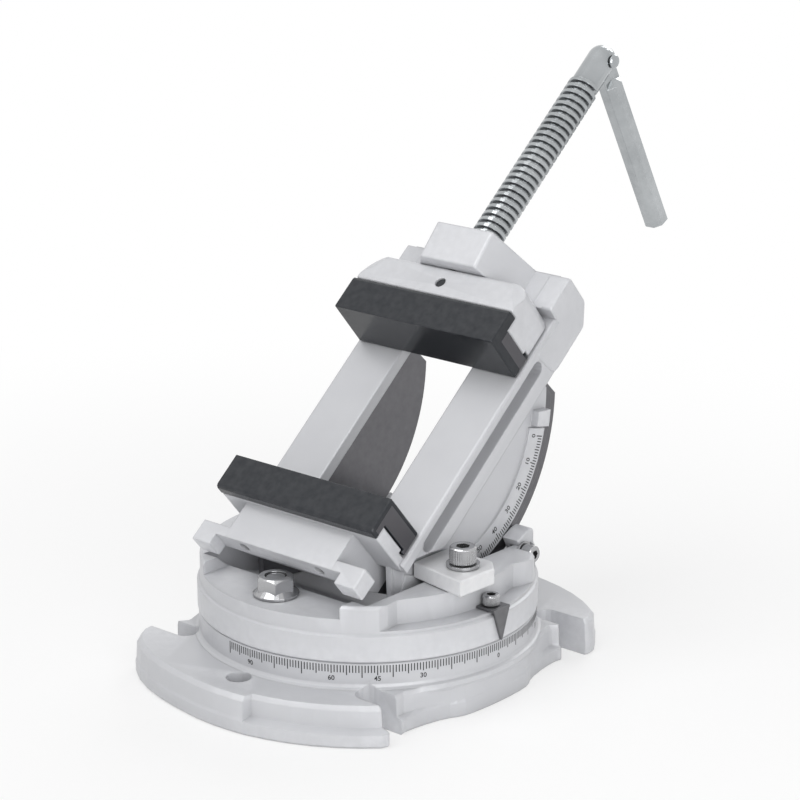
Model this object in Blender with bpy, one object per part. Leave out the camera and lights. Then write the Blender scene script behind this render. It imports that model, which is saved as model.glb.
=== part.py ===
"""Tilting machine vise: slotted base, swivel table, tilting body, moving jaw, lead screw and drop handle.

Lengths are metres. Every size has one name below; everything else is worked out from these names.
"""
import math

import bmesh
import bpy

# Shared clearances and helpers
SEAT_GAP = 0.0003
OVERRUN = 0.004
EDGE_BREAK = 0.0006

# Poses at rest
TILT_ANGLE = math.radians(40.0)
HANDLE_HANG = math.radians(28.4)
HANDLE_SWING_BACK = math.radians(10.0)
HANDLE_SWING_OUT = math.radians(56.0)

# Base casting, heights above the ground
BASE_HEIGHT = 0.03085
BASE_PLATE_TOP = 0.01835
BASE_SKIRT_TOP = 0.0066
BASE_LEDGE = 0.0050
BASE_LEDGE_SLOPE = 0.0016
BASE_DRUM_RADIUS = 0.0820
BASE_EAR_REACH = 0.0262
BASE_TIP_GROWTH = 0.0052
BASE_RIM_RADIUS = BASE_DRUM_RADIUS + BASE_EAR_REACH
BASE_WAIST_STEP = 0.0006
BASE_WAIST_RADIUS = BASE_DRUM_RADIUS + BASE_WAIST_STEP
BASE_COVE = 0.0022
BASE_EDGE = 0.0010
SLOT_CENTRE_X = 0.0595
SLOT_CENTRE_Y = 0.0653
SLOT_WIDTH = 0.0130
PLAIN_HOLE_RADIUS = 0.0060
PLAIN_HOLE_OFFSET = 0.0078
PLAIN_HOLE_Y = BASE_DRUM_RADIUS + PLAIN_HOLE_OFFSET
RING_SLOT_RADIUS = 0.0640
RING_NECK_WIDTH = 0.0112
RING_HEAD_WIDTH = 0.0190
RING_NECK_DEPTH = 0.0080
RING_HEAD_DEPTH = 0.0082
SPIGOT_RADIUS = 0.0150
SPIGOT_LENGTH = 0.0120

# Swivel table, heights above the parting line
TABLE_OVERHANG = 0.0005
TABLE_RING_RADIUS = BASE_DRUM_RADIUS + TABLE_OVERHANG
TABLE_RING_TOP = 0.0130
TABLE_WALL_STEP = 0.0015
TABLE_WALL_RADIUS = TABLE_RING_RADIUS - TABLE_WALL_STEP
TABLE_STEP_RISE = 0.0008
TABLE_CHEEK_TOP = 0.0272
TABLE_EDGE = 0.0012
POCKET_FLOOR = 0.0210
POCKET_HALF = 0.0437
SEAT_RADIUS = 0.0903
SEAT_HALF = 0.0526
SEAT_FLOOR = 0.0053
TILT_AXIS_HEIGHT = SEAT_RADIUS + SEAT_FLOOR

# Flange nuts and their bolts
BOLT_RADIUS = 0.0050
BOLT_END = -0.0007
BOLT_HEAD_SIDE = 0.0160
BOLT_HEAD_HEIGHT = 0.0070
NUT_FLATS = 0.0165
NUT_HEIGHT = 0.0094
NUT_FLANGE_RADIUS = 0.0109
NUT_FLANGE_HEIGHT = 0.0022

# Clamp straps, washers and cap screws
STRAP_THICKNESS = 0.0080
STRAP_FRONT_INSET = 0.0020
STRAP_SIDE_INSET = 0.0010
STRAP_BACK_INSET = 0.0080
STRAP_FRONT_Y = -0.0245
STRAP_SIDE_Y = -0.0010
STRAP_SCREW_INSET = 0.0142
STRAP_SCREW_Y = -0.0080
STRAP_INNER_X = 0.0457
STRAP_FRONT_INNER_Y = -0.0185
STRAP_BACK_INNER_Y = 0.0060
STRAP_FRONT_OUTER = (TABLE_WALL_RADIUS - STRAP_FRONT_INSET, STRAP_FRONT_Y)
STRAP_SIDE_BACK = (TABLE_WALL_RADIUS - STRAP_SIDE_INSET, STRAP_SIDE_Y)
STRAP_BACK_OUTER = (TABLE_WALL_RADIUS - STRAP_BACK_INSET, STRAP_BACK_INNER_Y)
STRAP_SCREW = (TABLE_WALL_RADIUS - STRAP_SCREW_INSET, STRAP_SCREW_Y)
WASHER_RADIUS = 0.0080
WASHER_THICKNESS = 0.0015
CAP_RADIUS = 0.0064
CAP_HEIGHT = 0.0080
CAP_SHANK_RADIUS = 0.0040
CAP_SHANK_LENGTH = 0.0175
CAP_SOCKET_FLATS = 0.0060
CAP_SOCKET_DEPTH = 0.0045

# Tilt index boss and its cross screw
INDEX_INSET = 0.0101
INDEX_RADIUS = SEAT_RADIUS - INDEX_INSET
INDEX_TIP_Y = 0.0462
INDEX_INNER_X = 0.0457
INDEX_OUTER_X = 0.0560
INDEX_TOP = 0.0345
INDEX_BACK_Y = 0.0585
INDEX_WEDGE = 0.0070
LOCK_Y = 0.0498
LOCK_Z = 0.0240
LOCK_WASHER_RADIUS = 0.0052
LOCK_WASHER_THICKNESS = 0.0010
LOCK_HEAD_RADIUS = 0.0043
LOCK_HEAD_LENGTH = 0.0060
LOCK_SHANK_RADIUS = 0.0025
LOCK_SHANK_LENGTH = 0.0080
LOCK_SOCKET_FLATS = 0.0040

# Swivel pointer, folded plate with a tongue, and its screw
POINTER_THICKNESS = 0.0012
POINTER_HALF = 0.0058
POINTER_INNER_INSET = 0.0092
POINTER_INNER_X = TABLE_RING_RADIUS - POINTER_INNER_INSET
POINTER_STEP_Z = 0.0152
POINTER_TIP_Z = 0.0008
POINTER_SCREW_INSET = 0.0052
POINTER_SCREW_X = TABLE_RING_RADIUS - POINTER_SCREW_INSET
POINTER_LAND_DEPTH = 0.0096
POINTER_LAND_FRONT = math.radians(-36.0)
POINTER_LAND_REAR = math.radians(20.0)
POINTER_LAND_EASE = math.radians(9.0)
POINTER_HEAD_RADIUS = 0.0042
POINTER_HEAD_HEIGHT = 0.0050
POINTER_SHANK_RADIUS = 0.0020
POINTER_SHANK_LENGTH = 0.0080
POINTER_SOCKET_FLATS = 0.0040

# Vise body, in the tilting frame: X across, U along the rails, V square to them, from the tilt axis
RAIL_TOP = -0.0220
RAIL_LIP = 0.0060
RAIL_INNER = 0.0223
RAIL_OUTER = 0.0515
SIDE_INNER = 0.0405
SIDE_FRONT_STEP = 0.0056
WING_STEP = 0.00015
SIDE_BOTTOM = -0.0420
SIDE_FRONT_U = -0.0462
SIDE_BELLY_U = -0.0380
SIDE_REAR_U = 0.0640
CHANNEL_TOP = -0.0262
CHANNEL_BOTTOM = -0.0340
CHANNEL_FRONT_U = -0.0480
CHANNEL_REAR_U = 0.0640
CHANNEL_DEPTH = 0.0068
QUADRANT_INNER = 0.0400
QUADRANT_OUTER = 0.0442
QUADRANT_RIM_OUTER = 0.0432
QUADRANT_RADIUS = SEAT_RADIUS - SEAT_GAP
QUADRANT_STEP = 0.0042
QUADRANT_STEP_RADIUS = QUADRANT_RADIUS - QUADRANT_STEP
QUADRANT_REAR = math.radians(-42.0)
QUADRANT_FRONT = math.radians(-150.0)
SCALE_FACE = 0.0453
RIM_BAND = 0.0085
SCALE_RADIUS = QUADRANT_RADIUS - RIM_BAND
SCALE_BAND = 0.0118
SCALE_REAR = math.radians(-53.0)
PAD_OUTER = 0.0485
PAD_BAND = 0.0090
PAD_REAR = math.radians(-46.0)
PAD_FRONT = math.radians(-52.0)
BLOCK_TOP = -0.0010
NECK_HALF = 0.0342
NECK_FRONT_U = -0.0832
NECK_FOOT_U = -0.0760
NECK_FOOT_V = -0.0300
WEB_REAR_U = -0.0500
WEB_BOTTOM = -0.0550
FLANGE_HALF = 0.0520
FLANGE_FRONT_U = -0.0889
FLANGE_REAR_U = -0.0775
FLANGE_THICKNESS = 0.0100
FLANGE_CUT_HALF = 0.0400
FLANGE_HOLE_X = 0.0240
FLANGE_HOLE_RADIUS = 0.0027
FLANGE_HOLE_DEPTH = 0.0100
BRIDGE_FRONT_U = 0.0847
BRIDGE_REAR_U = 0.1050
BRIDGE_HALF = 0.0520
BRIDGE_SHOULDER = -0.0145
BRIDGE_BOTTOM = -0.0425
BRIDGE_HEEL_U = 0.0960
BRIDGE_HEEL_V = -0.0330
BOSS_TOP_HALF = 0.0173
BOSS_FOOT_HALF = 0.0306
BOSS_TOP_FRONT = 0.0097
BOSS_TOP_REAR = 0.0122

# Jaws
JAW_HALF = 0.0500
JAW_OPENING = 0.0920
FIXED_FACE_U = -0.0440
JAW_PLATE_DEPTH = 0.0190
JAW_PLATE_SOLID = 0.0114
JAW_PLATE_TOP = 0.0072
JAW_PLATE_BOTTOM = -0.0215
JAW_LIP = 0.0062
JAW_HOOK = 0.0030
JAW_HOOK_DROP = 0.0016
JAW_TONGUE_HALF = 0.0495
JAW_TOP_FRONT = 0.0060
JAW_TOP_REAR = 0.0045
JAW_BACK_CORNER = 0.0090
JAW_BACK_DROP = 0.0085
JAW_CLEAR = 0.0003
SET_SCREW_U = 0.0750
SET_SCREW_RADIUS = 0.0025
SET_SCREW_SUNK = 0.0008
SET_SCREW_WALL = 0.0014
RETAINER_HALF = 0.0320
RETAINER_THICKNESS = 0.0075
RETAINER_FRONT_U = 0.0600
RETAINER_REAR_U = 0.0830
RETAINER_SCREW_X = 0.0125
RETAINER_SCREW_RADIUS = 0.0025
RETAINER_HEAD_RADIUS = 0.0045
RETAINER_HEAD_HEIGHT = 0.0030

# Lead screw, its head, cross pin and the drop handle
SCREW_V = -0.0054
THREAD_CREST = 0.00825
THREAD_ROOT = 0.0067
THREAD_PITCH = 0.0040
THREAD_CREST_SHARE = 0.46
THREAD_FLANK_SHARE = 0.13
THREAD_START_U = 0.0860
THREAD_END_U = 0.2130
SCREW_BODY_RADIUS = 0.0080
SCREW_TIP_U = 0.0620
SCREW_SHOULDER_U = 0.0685
SCREW_TIP_RADIUS = 0.0050
SCREW_GROOVE_U = 0.0750
SCREW_GROOVE_WIDTH = 0.0040
SCREW_GROOVE_DEPTH = 0.0018
SCREW_CLEAR = 0.0003
HEAD_RADIUS = 0.0074
HEAD_TIP_U = 0.2375
HEAD_PIN_U = HEAD_TIP_U - HEAD_RADIUS
FORK_WIDTH = 0.0060
FORK_CLEAR = 0.0003
PIN_RADIUS = 0.0027
PIN_HEAD_RADIUS = 0.0036
PIN_HEAD_HEIGHT = 0.0012
PIN_PROUD = 0.0004
HANDLE_LENGTH = 0.1060
HANDLE_RADIUS = 0.0066
HANDLE_SHOULDER = 0.0118
HANDLE_SHOULDER_SLOPE = 0.0030
HANDLE_TONGUE_RADIUS = 0.0062
HANDLE_CHAMFER = 0.0008
HANDLE_SIDES = 8

# Facets on round shapes
ROUND_FINE = 96
ROUND_MID = 48
ROUND_SMALL = 28
THREAD_SIDES = 22

# Outline of the base in plan: (degrees from the +X or -X axis, share of the way from waist to rim)
BASE_OUTLINE_SHARES = (
    (0.0, 0.00), (6.0, 0.01), (12.0, 0.04), (15.5, 0.06), (18.5, 0.045), (21.0, 0.015), (25.0, 0.03),
    (30.0, 0.11), (34.0, 0.22), (37.5, 0.36), (40.0, 0.56), (42.0, 0.80), (43.3, 0.94), (45.0, 1.00),
    (50.0, 1.00), (56.0, 1.00), (62.0, 1.00), (68.0, 1.00), (74.0, 1.00), (79.0, 1.00), (81.0, 1.00),
    (84.0, 1.00), (90.0, 1.00),
)
FULL_RIM_FROM = math.radians(-141.0)
FULL_RIM_TO = math.radians(-80.0)
TIP_GROWTH_FROM = math.radians(-98.0)
TIP_GROWTH_TO = math.radians(-130.0)

# Base colours and metal of each finish: (red, green, blue), roughness, metallic
FINISHES = {
    "cast_silver": ((0.56, 0.57, 0.59), 0.42, 0.35),
    "ground_face": ((0.66, 0.66, 0.67), 0.26, 0.90),
    "black_steel": ((0.045, 0.052, 0.060), 0.32, 0.60),
    "bright_zinc": ((0.64, 0.66, 0.67), 0.22, 1.00),
    "dark_plate": ((0.16, 0.16, 0.165), 0.34, 0.90),
}

FULL_TURN = 2.0 * math.pi


# Helpers that make closed meshes
def finish_material(name):
    """Principled material of one finish, made once."""
    if name in bpy.data.materials:
        return bpy.data.materials[name]
    colour, roughness, metallic = FINISHES[name]
    material = bpy.data.materials.new(name)
    material.use_nodes = True
    shader = material.node_tree.nodes["Principled BSDF"]
    shader.inputs["Base Color"].default_value = (*colour, 1.0)
    shader.inputs["Roughness"].default_value = roughness
    shader.inputs["Metallic"].default_value = metallic
    return material


def add_empty(name, parent=None, location=(0.0, 0.0, 0.0), tilt=0.0):
    """Empty that carries a moving group and lies on its joint's axis."""
    empty = bpy.data.objects.new(name, None)
    bpy.context.collection.objects.link(empty)
    empty.parent = parent
    empty.location = location
    empty.rotation_euler = (tilt, 0.0, 0.0)
    return empty


def add_mesh(name, vertices, faces, finish, parent=None, smooth=math.radians(35.0)):
    """Object of its own from vertices and faces, in its parent's frame, with its faces pointing out."""
    mesh = bpy.data.meshes.new(name)
    work = bmesh.new()
    made = [work.verts.new(point) for point in vertices]
    for face in faces:
        work.faces.new([made[index] for index in face])
    bmesh.ops.recalc_face_normals(work, faces=work.faces)
    work.to_mesh(mesh)
    work.free()
    mesh.materials.append(finish_material(finish))
    mesh.shade_smooth()
    mesh.set_sharp_from_angle(angle=smooth)
    item = bpy.data.objects.new(name, mesh)
    bpy.context.collection.objects.link(item)
    item.parent = parent
    return item


def stack(name, rings, finish, parent=None):
    """Closed solid from rings of equally many points, capped at both ends."""
    count = len(rings[0])
    vertices = [point for ring in rings for point in ring]
    faces = [list(range(count)), [(len(rings) - 1) * count + index for index in range(count)]]
    for level in range(len(rings) - 1):
        low, high = level * count, (level + 1) * count
        for index in range(count):
            after = (index + 1) % count
            faces.append([low + index, low + after, high + after, high + index])
    return add_mesh(name, vertices, faces, finish, parent)


def place(axis, first, second, along):
    """Point with its outline coordinates square to an axis, and its place along it."""
    return {"X": (along, first, second), "Y": (first, along, second), "Z": (first, second, along)}[axis]


def prism(name, outline, low, high, axis, finish, parent=None, edge=0.0):
    """Outline drawn square to an axis and pulled along it, with its rims broken by an edge."""
    rings = []
    steps = [(low, edge), (low + edge, 0.0), (high - edge, 0.0), (high, edge)] if edge else [(low, 0.0), (high, 0.0)]
    for along, inset in steps:
        rings.append([place(axis, a, b, along) for a, b in inset_outline(outline, inset)])
    return stack(name, rings, finish, parent)


def turned(name, profile, sides, axis, finish, parent=None, centre=(0.0, 0.0), turn=0.0):
    """Solid turned about an axis from (radius, place along it) pairs."""
    rings = []
    for radius, along in profile:
        ring = []
        for index in range(sides):
            angle = turn + FULL_TURN * index / sides
            ring.append(place(axis, centre[0] + radius * math.cos(angle), centre[1] + radius * math.sin(angle), along))
        rings.append(ring)
    return stack(name, rings, finish, parent)


def signed_area(outline):
    """Area of an outline, positive where it runs counter-clockwise."""
    total = 0.0
    for index, (a, b) in enumerate(outline):
        c, d = outline[(index + 1) % len(outline)]
        total += a * d - c * b
    return total / 2.0


def inset_outline(outline, inset):
    """Outline moved inward by one distance along each corner's mitre."""
    if not inset:
        return list(outline)
    side = 1.0 if signed_area(outline) > 0.0 else -1.0
    moved = []
    count = len(outline)
    for index in range(count):
        before, here, after = outline[index - 1], outline[index], outline[(index + 1) % count]
        first = unit(here[0] - before[0], here[1] - before[1])
        second = unit(after[0] - here[0], after[1] - here[1])
        normal = unit(-(first[1] + second[1]), first[0] + second[0])
        spread = max(-first[1] * normal[0] + first[0] * normal[1], 0.5)
        moved.append((here[0] + side * normal[0] * inset / spread, here[1] + side * normal[1] * inset / spread))
    return moved


def unit(a, b):
    """Direction of a pair, one unit long."""
    length = math.hypot(a, b)
    return a / length, b / length


def rounded(outline, radii, steps=3):
    """Outline with its corners turned into arcs; radii is one radius, or one for each corner."""
    count = len(outline)
    if not isinstance(radii, (list, tuple)):
        radii = [radii] * count
    result = []
    for index in range(count):
        here, radius = outline[index], radii[index]
        if not radius:
            result.append(here)
            continue
        before, after = outline[index - 1], outline[(index + 1) % count]
        back = unit(before[0] - here[0], before[1] - here[1])
        ahead = unit(after[0] - here[0], after[1] - here[1])
        half = math.acos(max(-1.0, min(1.0, back[0] * ahead[0] + back[1] * ahead[1]))) / 2.0
        room = 0.48 * min(math.dist(before, here), math.dist(after, here))
        reach = min(radius / math.tan(half), room)
        radius = reach * math.tan(half)
        middle = unit(back[0] + ahead[0], back[1] + ahead[1])
        centre = [here[k] + middle[k] * radius / math.sin(half) for k in (0, 1)]
        start = math.atan2(here[1] + back[1] * reach - centre[1], here[0] + back[0] * reach - centre[0])
        end = math.atan2(here[1] + ahead[1] * reach - centre[1], here[0] + ahead[0] * reach - centre[0])
        sweep = (end - start + math.pi) % FULL_TURN - math.pi
        for step in range(steps + 1):
            angle = start + sweep * step / steps
            result.append((centre[0] + radius * math.cos(angle), centre[1] + radius * math.sin(angle)))
    return result


def box_outline(low_a, high_a, low_b, high_b):
    """Four corners of a rectangle, counter-clockwise."""
    return [(low_a, low_b), (high_a, low_b), (high_a, high_b), (low_a, high_b)]


def arc(radius, start, end, steps, centre=(0.0, 0.0)):
    """Points along an arc, both ends included."""
    return [(centre[0] + radius * math.cos(start + (end - start) * step / steps),
             centre[1] + radius * math.sin(start + (end - start) * step / steps)) for step in range(steps + 1)]


def stadium(low, high, half, level, steps=8):
    """Slot outline with round ends, from one end to the other along the first coordinate."""
    right = arc(half, -math.pi / 2.0, math.pi / 2.0, steps, (high - half, level))
    left = arc(half, math.pi / 2.0, 3.0 * math.pi / 2.0, steps, (low + half, level))
    return right + left


def hexagon(flats, centre=(0.0, 0.0), turn=0.0):
    """Hexagon outline from its width across flats."""
    radius = flats / math.sqrt(3.0)
    return [(centre[0] + radius * math.cos(turn + FULL_TURN * index / 6),
             centre[1] + radius * math.sin(turn + FULL_TURN * index / 6))
            for index in range(6)]


def mirrored(outline):
    """Outline reflected in its first coordinate, still counter-clockwise."""
    return [(-a, b) for a, b in reversed(outline)]


def combine(target, tool, operation):
    """Boolean of a helper solid on a piece; the helper stays as a hidden guide."""
    tool.hide_render = True
    tool.display_type = "WIRE"
    step = target.modifiers.new(f"{operation.lower()} {tool.name}", "BOOLEAN")
    step.operation = operation
    step.solver = "EXACT"
    step.object = tool
    return target


def cut(target, tool):
    """Take a helper solid away from a piece."""
    return combine(target, tool, "DIFFERENCE")


def join(target, tool):
    """Fuse a helper solid to a piece."""
    return combine(target, tool, "UNION")


# Base casting
def base_radius(angle, inset):
    """Radius of the base outline at a plan angle, with the ears drawn in by an inset."""
    folded = abs((math.degrees(angle) + 180.0) % 360.0 - 180.0)
    folded = 180.0 - folded if folded > 90.0 else folded
    share = 0.0
    for (start, low), (end, high) in zip(BASE_OUTLINE_SHARES, BASE_OUTLINE_SHARES[1:]):
        if start <= folded <= end:
            share = low + (high - low) * (folded - start) / (end - start)
    reach = BASE_WAIST_RADIUS + share * (BASE_RIM_RADIUS - BASE_WAIST_RADIUS)
    return reach - inset * min(1.0, share * 2.0)


def in_full_rim(angle):
    """Whether a plan angle lies in one of the two ears whose rim stands full height, half a turn apart."""
    folded = (angle + math.pi) % FULL_TURN - math.pi
    across = folded - math.pi if folded > 0.0 else folded + math.pi
    return FULL_RIM_FROM < folded < FULL_RIM_TO or FULL_RIM_FROM < across < FULL_RIM_TO


def tip_growth(angle):
    """How much a full rim's outline grows towards the ear's outer tip."""
    folded = (angle + math.pi) % FULL_TURN - math.pi
    here = folded if folded < 0.0 else folded - math.pi
    share = min(1.0, max(0.0, (here - TIP_GROWTH_FROM) / (TIP_GROWTH_TO - TIP_GROWTH_FROM)))
    fade = min(1.0, max(0.0, (here - FULL_RIM_FROM) / (TIP_GROWTH_TO - FULL_RIM_FROM)))
    return BASE_TIP_GROWTH * share * share * (3.0 - 2.0 * share) * fade


def base_angles():
    """Plan angles of the base outline: each control angle in each quarter, and the ends of the full rim."""
    quarter = [math.radians(degrees) for degrees, _ in BASE_OUTLINE_SHARES]
    angles = set()
    for angle in quarter:
        for value in (angle, math.pi - angle, math.pi + angle, -angle):
            angles.add(round(value % FULL_TURN, 6))
    for edge in (FULL_RIM_FROM, FULL_RIM_TO, FULL_RIM_FROM + math.pi, FULL_RIM_TO + math.pi):
        for side in (-1.0, 1.0):
            angles.add(round((edge + side * math.radians(0.4)) % FULL_TURN, 6))
    return sorted(angles)


def build_base():
    """Base with stepped ears, cove and drum, four slots, a plain hole, the ring T-slot and the spigot bore."""
    levels = [
        (0.0, BASE_EDGE, BASE_EDGE), (BASE_EDGE, 0.0, 0.0), (BASE_SKIRT_TOP, 0.0, 0.0),
        (BASE_SKIRT_TOP + BASE_LEDGE_SLOPE, BASE_LEDGE, BASE_EDGE / 2.0),
        (BASE_PLATE_TOP - BASE_COVE, BASE_LEDGE + BASE_EDGE / 2.0, BASE_EDGE),
        (BASE_PLATE_TOP, BASE_LEDGE + BASE_EDGE * 2.0, BASE_EDGE * 3.0),
    ]
    rings = []
    for height, inset, full_inset in levels:
        ring = []
        for angle in base_angles():
            radius = base_radius(angle, full_inset if in_full_rim(angle) else inset) + tip_growth(angle)
            ring.append((radius * math.cos(angle), radius * math.sin(angle), height))
        rings.append(ring)
    base = stack("base_plate", rings, "cast_silver")
    cove = BASE_DRUM_RADIUS + BASE_COVE
    drum = turned("guide_base_drum", [
        (BASE_DRUM_RADIUS - OVERRUN, BASE_SKIRT_TOP), (cove, BASE_PLATE_TOP - BASE_COVE),
        (cove, BASE_PLATE_TOP + SEAT_GAP), (BASE_DRUM_RADIUS + BASE_COVE * 0.3, BASE_PLATE_TOP + BASE_COVE * 0.4),
        (BASE_DRUM_RADIUS, BASE_PLATE_TOP + BASE_COVE),
        (BASE_DRUM_RADIUS, BASE_HEIGHT - EDGE_BREAK), (BASE_DRUM_RADIUS - EDGE_BREAK, BASE_HEIGHT)],
        ROUND_FINE, "Z", "cast_silver")
    join(base, drum)
    far = BASE_RIM_RADIUS + BASE_TIP_GROWTH + OVERRUN
    for side_x in (1.0, -1.0):
        for side_y in (1.0, -1.0):
            outline = stadium(SLOT_CENTRE_X - SLOT_WIDTH / 2.0, far, SLOT_WIDTH / 2.0, side_y * SLOT_CENTRE_Y)
            if side_x < 0.0:
                outline = mirrored(outline)
            cut(base, prism(f"guide_slot_{side_x:+.0f}_{side_y:+.0f}", outline, -OVERRUN, BASE_PLATE_TOP + OVERRUN, "Z",
                            "cast_silver"))
    cut(base, turned("guide_plain_hole", [(PLAIN_HOLE_RADIUS, -OVERRUN), (PLAIN_HOLE_RADIUS, BASE_PLATE_TOP + OVERRUN)],
                     ROUND_SMALL, "Z", "cast_silver", centre=(0.0, -PLAIN_HOLE_Y)))
    slot = ring_solid("guide_ring_neck", RING_SLOT_RADIUS, RING_NECK_WIDTH, BASE_HEIGHT - RING_NECK_DEPTH - OVERRUN / 2.0,
                      BASE_HEIGHT + OVERRUN)
    cut(base, slot)
    deep = BASE_HEIGHT - RING_NECK_DEPTH - RING_HEAD_DEPTH
    cut(base, ring_solid("guide_ring_head", RING_SLOT_RADIUS, RING_HEAD_WIDTH, deep, BASE_HEIGHT - RING_NECK_DEPTH))
    bore = SPIGOT_RADIUS + SEAT_GAP
    cut(base, turned("guide_spigot_bore", [(bore, BASE_HEIGHT - SPIGOT_LENGTH - SEAT_GAP), (bore, BASE_HEIGHT + OVERRUN)],
                     ROUND_MID, "Z", "cast_silver"))
    return base


def ring_solid(name, radius, width, low, high, parent=None):
    """Ring of rectangular section about Z."""
    rings = []
    for index in range(ROUND_MID):
        angle = FULL_TURN * index / ROUND_MID
        ring = []
        for reach, height in ((radius - width / 2.0, low), (radius + width / 2.0, low),
                              (radius + width / 2.0, high), (radius - width / 2.0, high)):
            ring.append((reach * math.cos(angle), reach * math.sin(angle), height))
        rings.append(ring)
    vertices = [point for ring in rings for point in ring]
    faces = []
    for index in range(ROUND_MID):
        low_ring, high_ring = 4 * index, 4 * ((index + 1) % ROUND_MID)
        for corner in range(4):
            after = (corner + 1) % 4
            faces.append([low_ring + corner, low_ring + after, high_ring + after, high_ring + corner])
    return add_mesh(name, vertices, faces, "cast_silver", parent)


# Swivel table and what is fixed to it, heights from the parting line
def build_table(swivel):
    """Table casting: spigot, stepped round wall, round tilt seat, two nut pockets and the cheeks."""
    lift = SEAT_GAP
    profile = [
        (SPIGOT_RADIUS - EDGE_BREAK, -SPIGOT_LENGTH), (SPIGOT_RADIUS, -SPIGOT_LENGTH + EDGE_BREAK),
        (SPIGOT_RADIUS, lift), (TABLE_RING_RADIUS - EDGE_BREAK, lift), (TABLE_RING_RADIUS, lift + EDGE_BREAK),
        (TABLE_RING_RADIUS, TABLE_RING_TOP), (TABLE_WALL_RADIUS, TABLE_RING_TOP + TABLE_STEP_RISE),
        (TABLE_WALL_RADIUS, TABLE_CHEEK_TOP - TABLE_EDGE), (TABLE_WALL_RADIUS - TABLE_EDGE, TABLE_CHEEK_TOP)]
    table = turned("swivel_table", profile, ROUND_FINE, "Z", "cast_silver", swivel)
    seat = turned("guide_tilt_seat", [(SEAT_RADIUS, -SEAT_HALF), (SEAT_RADIUS, SEAT_HALF)], ROUND_FINE, "X",
                  "cast_silver", swivel, centre=(0.0, TILT_AXIS_HEIGHT))
    far = TABLE_RING_RADIUS + OVERRUN
    for side, label in ((-1.0, "front"), (1.0, "rear")):
        outline = rounded(box_outline(-POCKET_HALF, POCKET_HALF, 0.0, far), [0.0, 0.0, 0.0, 0.0])
        if side < 0.0:
            outline = [(-a, -b) for a, b in outline]
        cut(table, prism(f"guide_pocket_{label}", outline, POCKET_FLOOR, TABLE_CHEEK_TOP + OVERRUN, "Z",
                         "cast_silver", swivel))
    cut(table, seat)
    for side, label in ((-1.0, "front"), (1.0, "rear")):
        hole = BOLT_RADIUS + SEAT_GAP
        cut(table, turned(f"guide_bolt_hole_{label}", [(hole, -OVERRUN), (hole, TABLE_CHEEK_TOP)], ROUND_SMALL, "Z",
                          "cast_silver", swivel, centre=(0.0, side * RING_SLOT_RADIUS)))
    for side, label in ((-1.0, "left"), (1.0, "right")):
        hole = CAP_SHANK_RADIUS + SEAT_GAP
        depth = TABLE_CHEEK_TOP + SEAT_GAP + STRAP_THICKNESS + WASHER_THICKNESS - CAP_SHANK_LENGTH - SEAT_GAP * 2.0
        cut(table, turned(f"guide_strap_hole_{label}", [(hole, depth), (hole, TABLE_CHEEK_TOP + OVERRUN)], ROUND_SMALL,
                          "Z", "cast_silver", swivel, centre=(side * STRAP_SCREW[0], side * STRAP_SCREW[1])))
    hole = POINTER_SHANK_RADIUS + SEAT_GAP
    land = pointer_land(far)
    cut(table, prism("guide_pointer_land", land, POINTER_STEP_Z, TABLE_CHEEK_TOP + OVERRUN, "Z", "cast_silver",
                     swivel))
    cut(table, turned("guide_pointer_hole", [(hole, POINTER_STEP_Z - POINTER_SHANK_LENGTH), (hole, TABLE_CHEEK_TOP)],
                      ROUND_SMALL, "Z", "cast_silver", swivel, centre=(POINTER_SCREW_X, 0.0)))
    tip = index_tip()
    foot = POCKET_FLOOR - OVERRUN
    outline = rounded([(tip[0] + INDEX_WEDGE, foot), (INDEX_BACK_Y, foot), (INDEX_BACK_Y, INDEX_TOP),
                       (tip[0] + INDEX_WEDGE, INDEX_TOP - INDEX_WEDGE / 6.0), (tip[0], tip[1])],
                      [0.0, 0.0, OVERRUN, OVERRUN, 0.0])
    index = prism("guide_index_boss", outline, INDEX_INNER_X, INDEX_OUTER_X, "X", "cast_silver", swivel, EDGE_BREAK)
    join(table, index)
    hole = LOCK_SHANK_RADIUS + SEAT_GAP
    end = INDEX_OUTER_X + LOCK_WASHER_THICKNESS - LOCK_SHANK_LENGTH
    cut(table, turned("guide_lock_hole", [(hole, end), (hole, TABLE_WALL_RADIUS)], ROUND_SMALL, "X", "cast_silver",
                      swivel, centre=(LOCK_Y, LOCK_Z)))
    spot = LOCK_WASHER_RADIUS + SEAT_GAP * 4.0
    cut(table, turned("guide_lock_spot", [(spot, INDEX_OUTER_X), (spot, TABLE_WALL_RADIUS)], ROUND_SMALL, "X",
                      "cast_silver", swivel, centre=(LOCK_Y, LOCK_Z)))
    return table


def pointer_land(far):
    """Plan of the flat land cut for the pointer, with eased ends where the wall comes back out."""
    inner = []
    steps = 20
    low, high = POINTER_LAND_FRONT - POINTER_LAND_EASE, POINTER_LAND_REAR + POINTER_LAND_EASE
    for step in range(steps + 1):
        angle = low + (high - low) * step / steps
        inside = min(1.0, (angle - low) / POINTER_LAND_EASE, (high - angle) / POINTER_LAND_EASE)
        ease = inside * inside * (3.0 - 2.0 * inside)
        radius = TABLE_WALL_RADIUS + EDGE_BREAK - ease * (POINTER_LAND_DEPTH - TABLE_WALL_STEP + EDGE_BREAK)
        inner.append((radius * math.cos(angle), radius * math.sin(angle)))
    outer = [(far * math.cos(angle), far * math.sin(angle)) for angle in
             [low + (high - low) * step / steps for step in range(steps + 1)]]
    return outer + inner[::-1]


def index_tip():
    """Tip of the tilt index, on its circle about the tilt axis."""
    drop = math.sqrt(INDEX_RADIUS ** 2 - INDEX_TIP_Y ** 2)
    return INDEX_TIP_Y, TILT_AXIS_HEIGHT - drop


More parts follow.
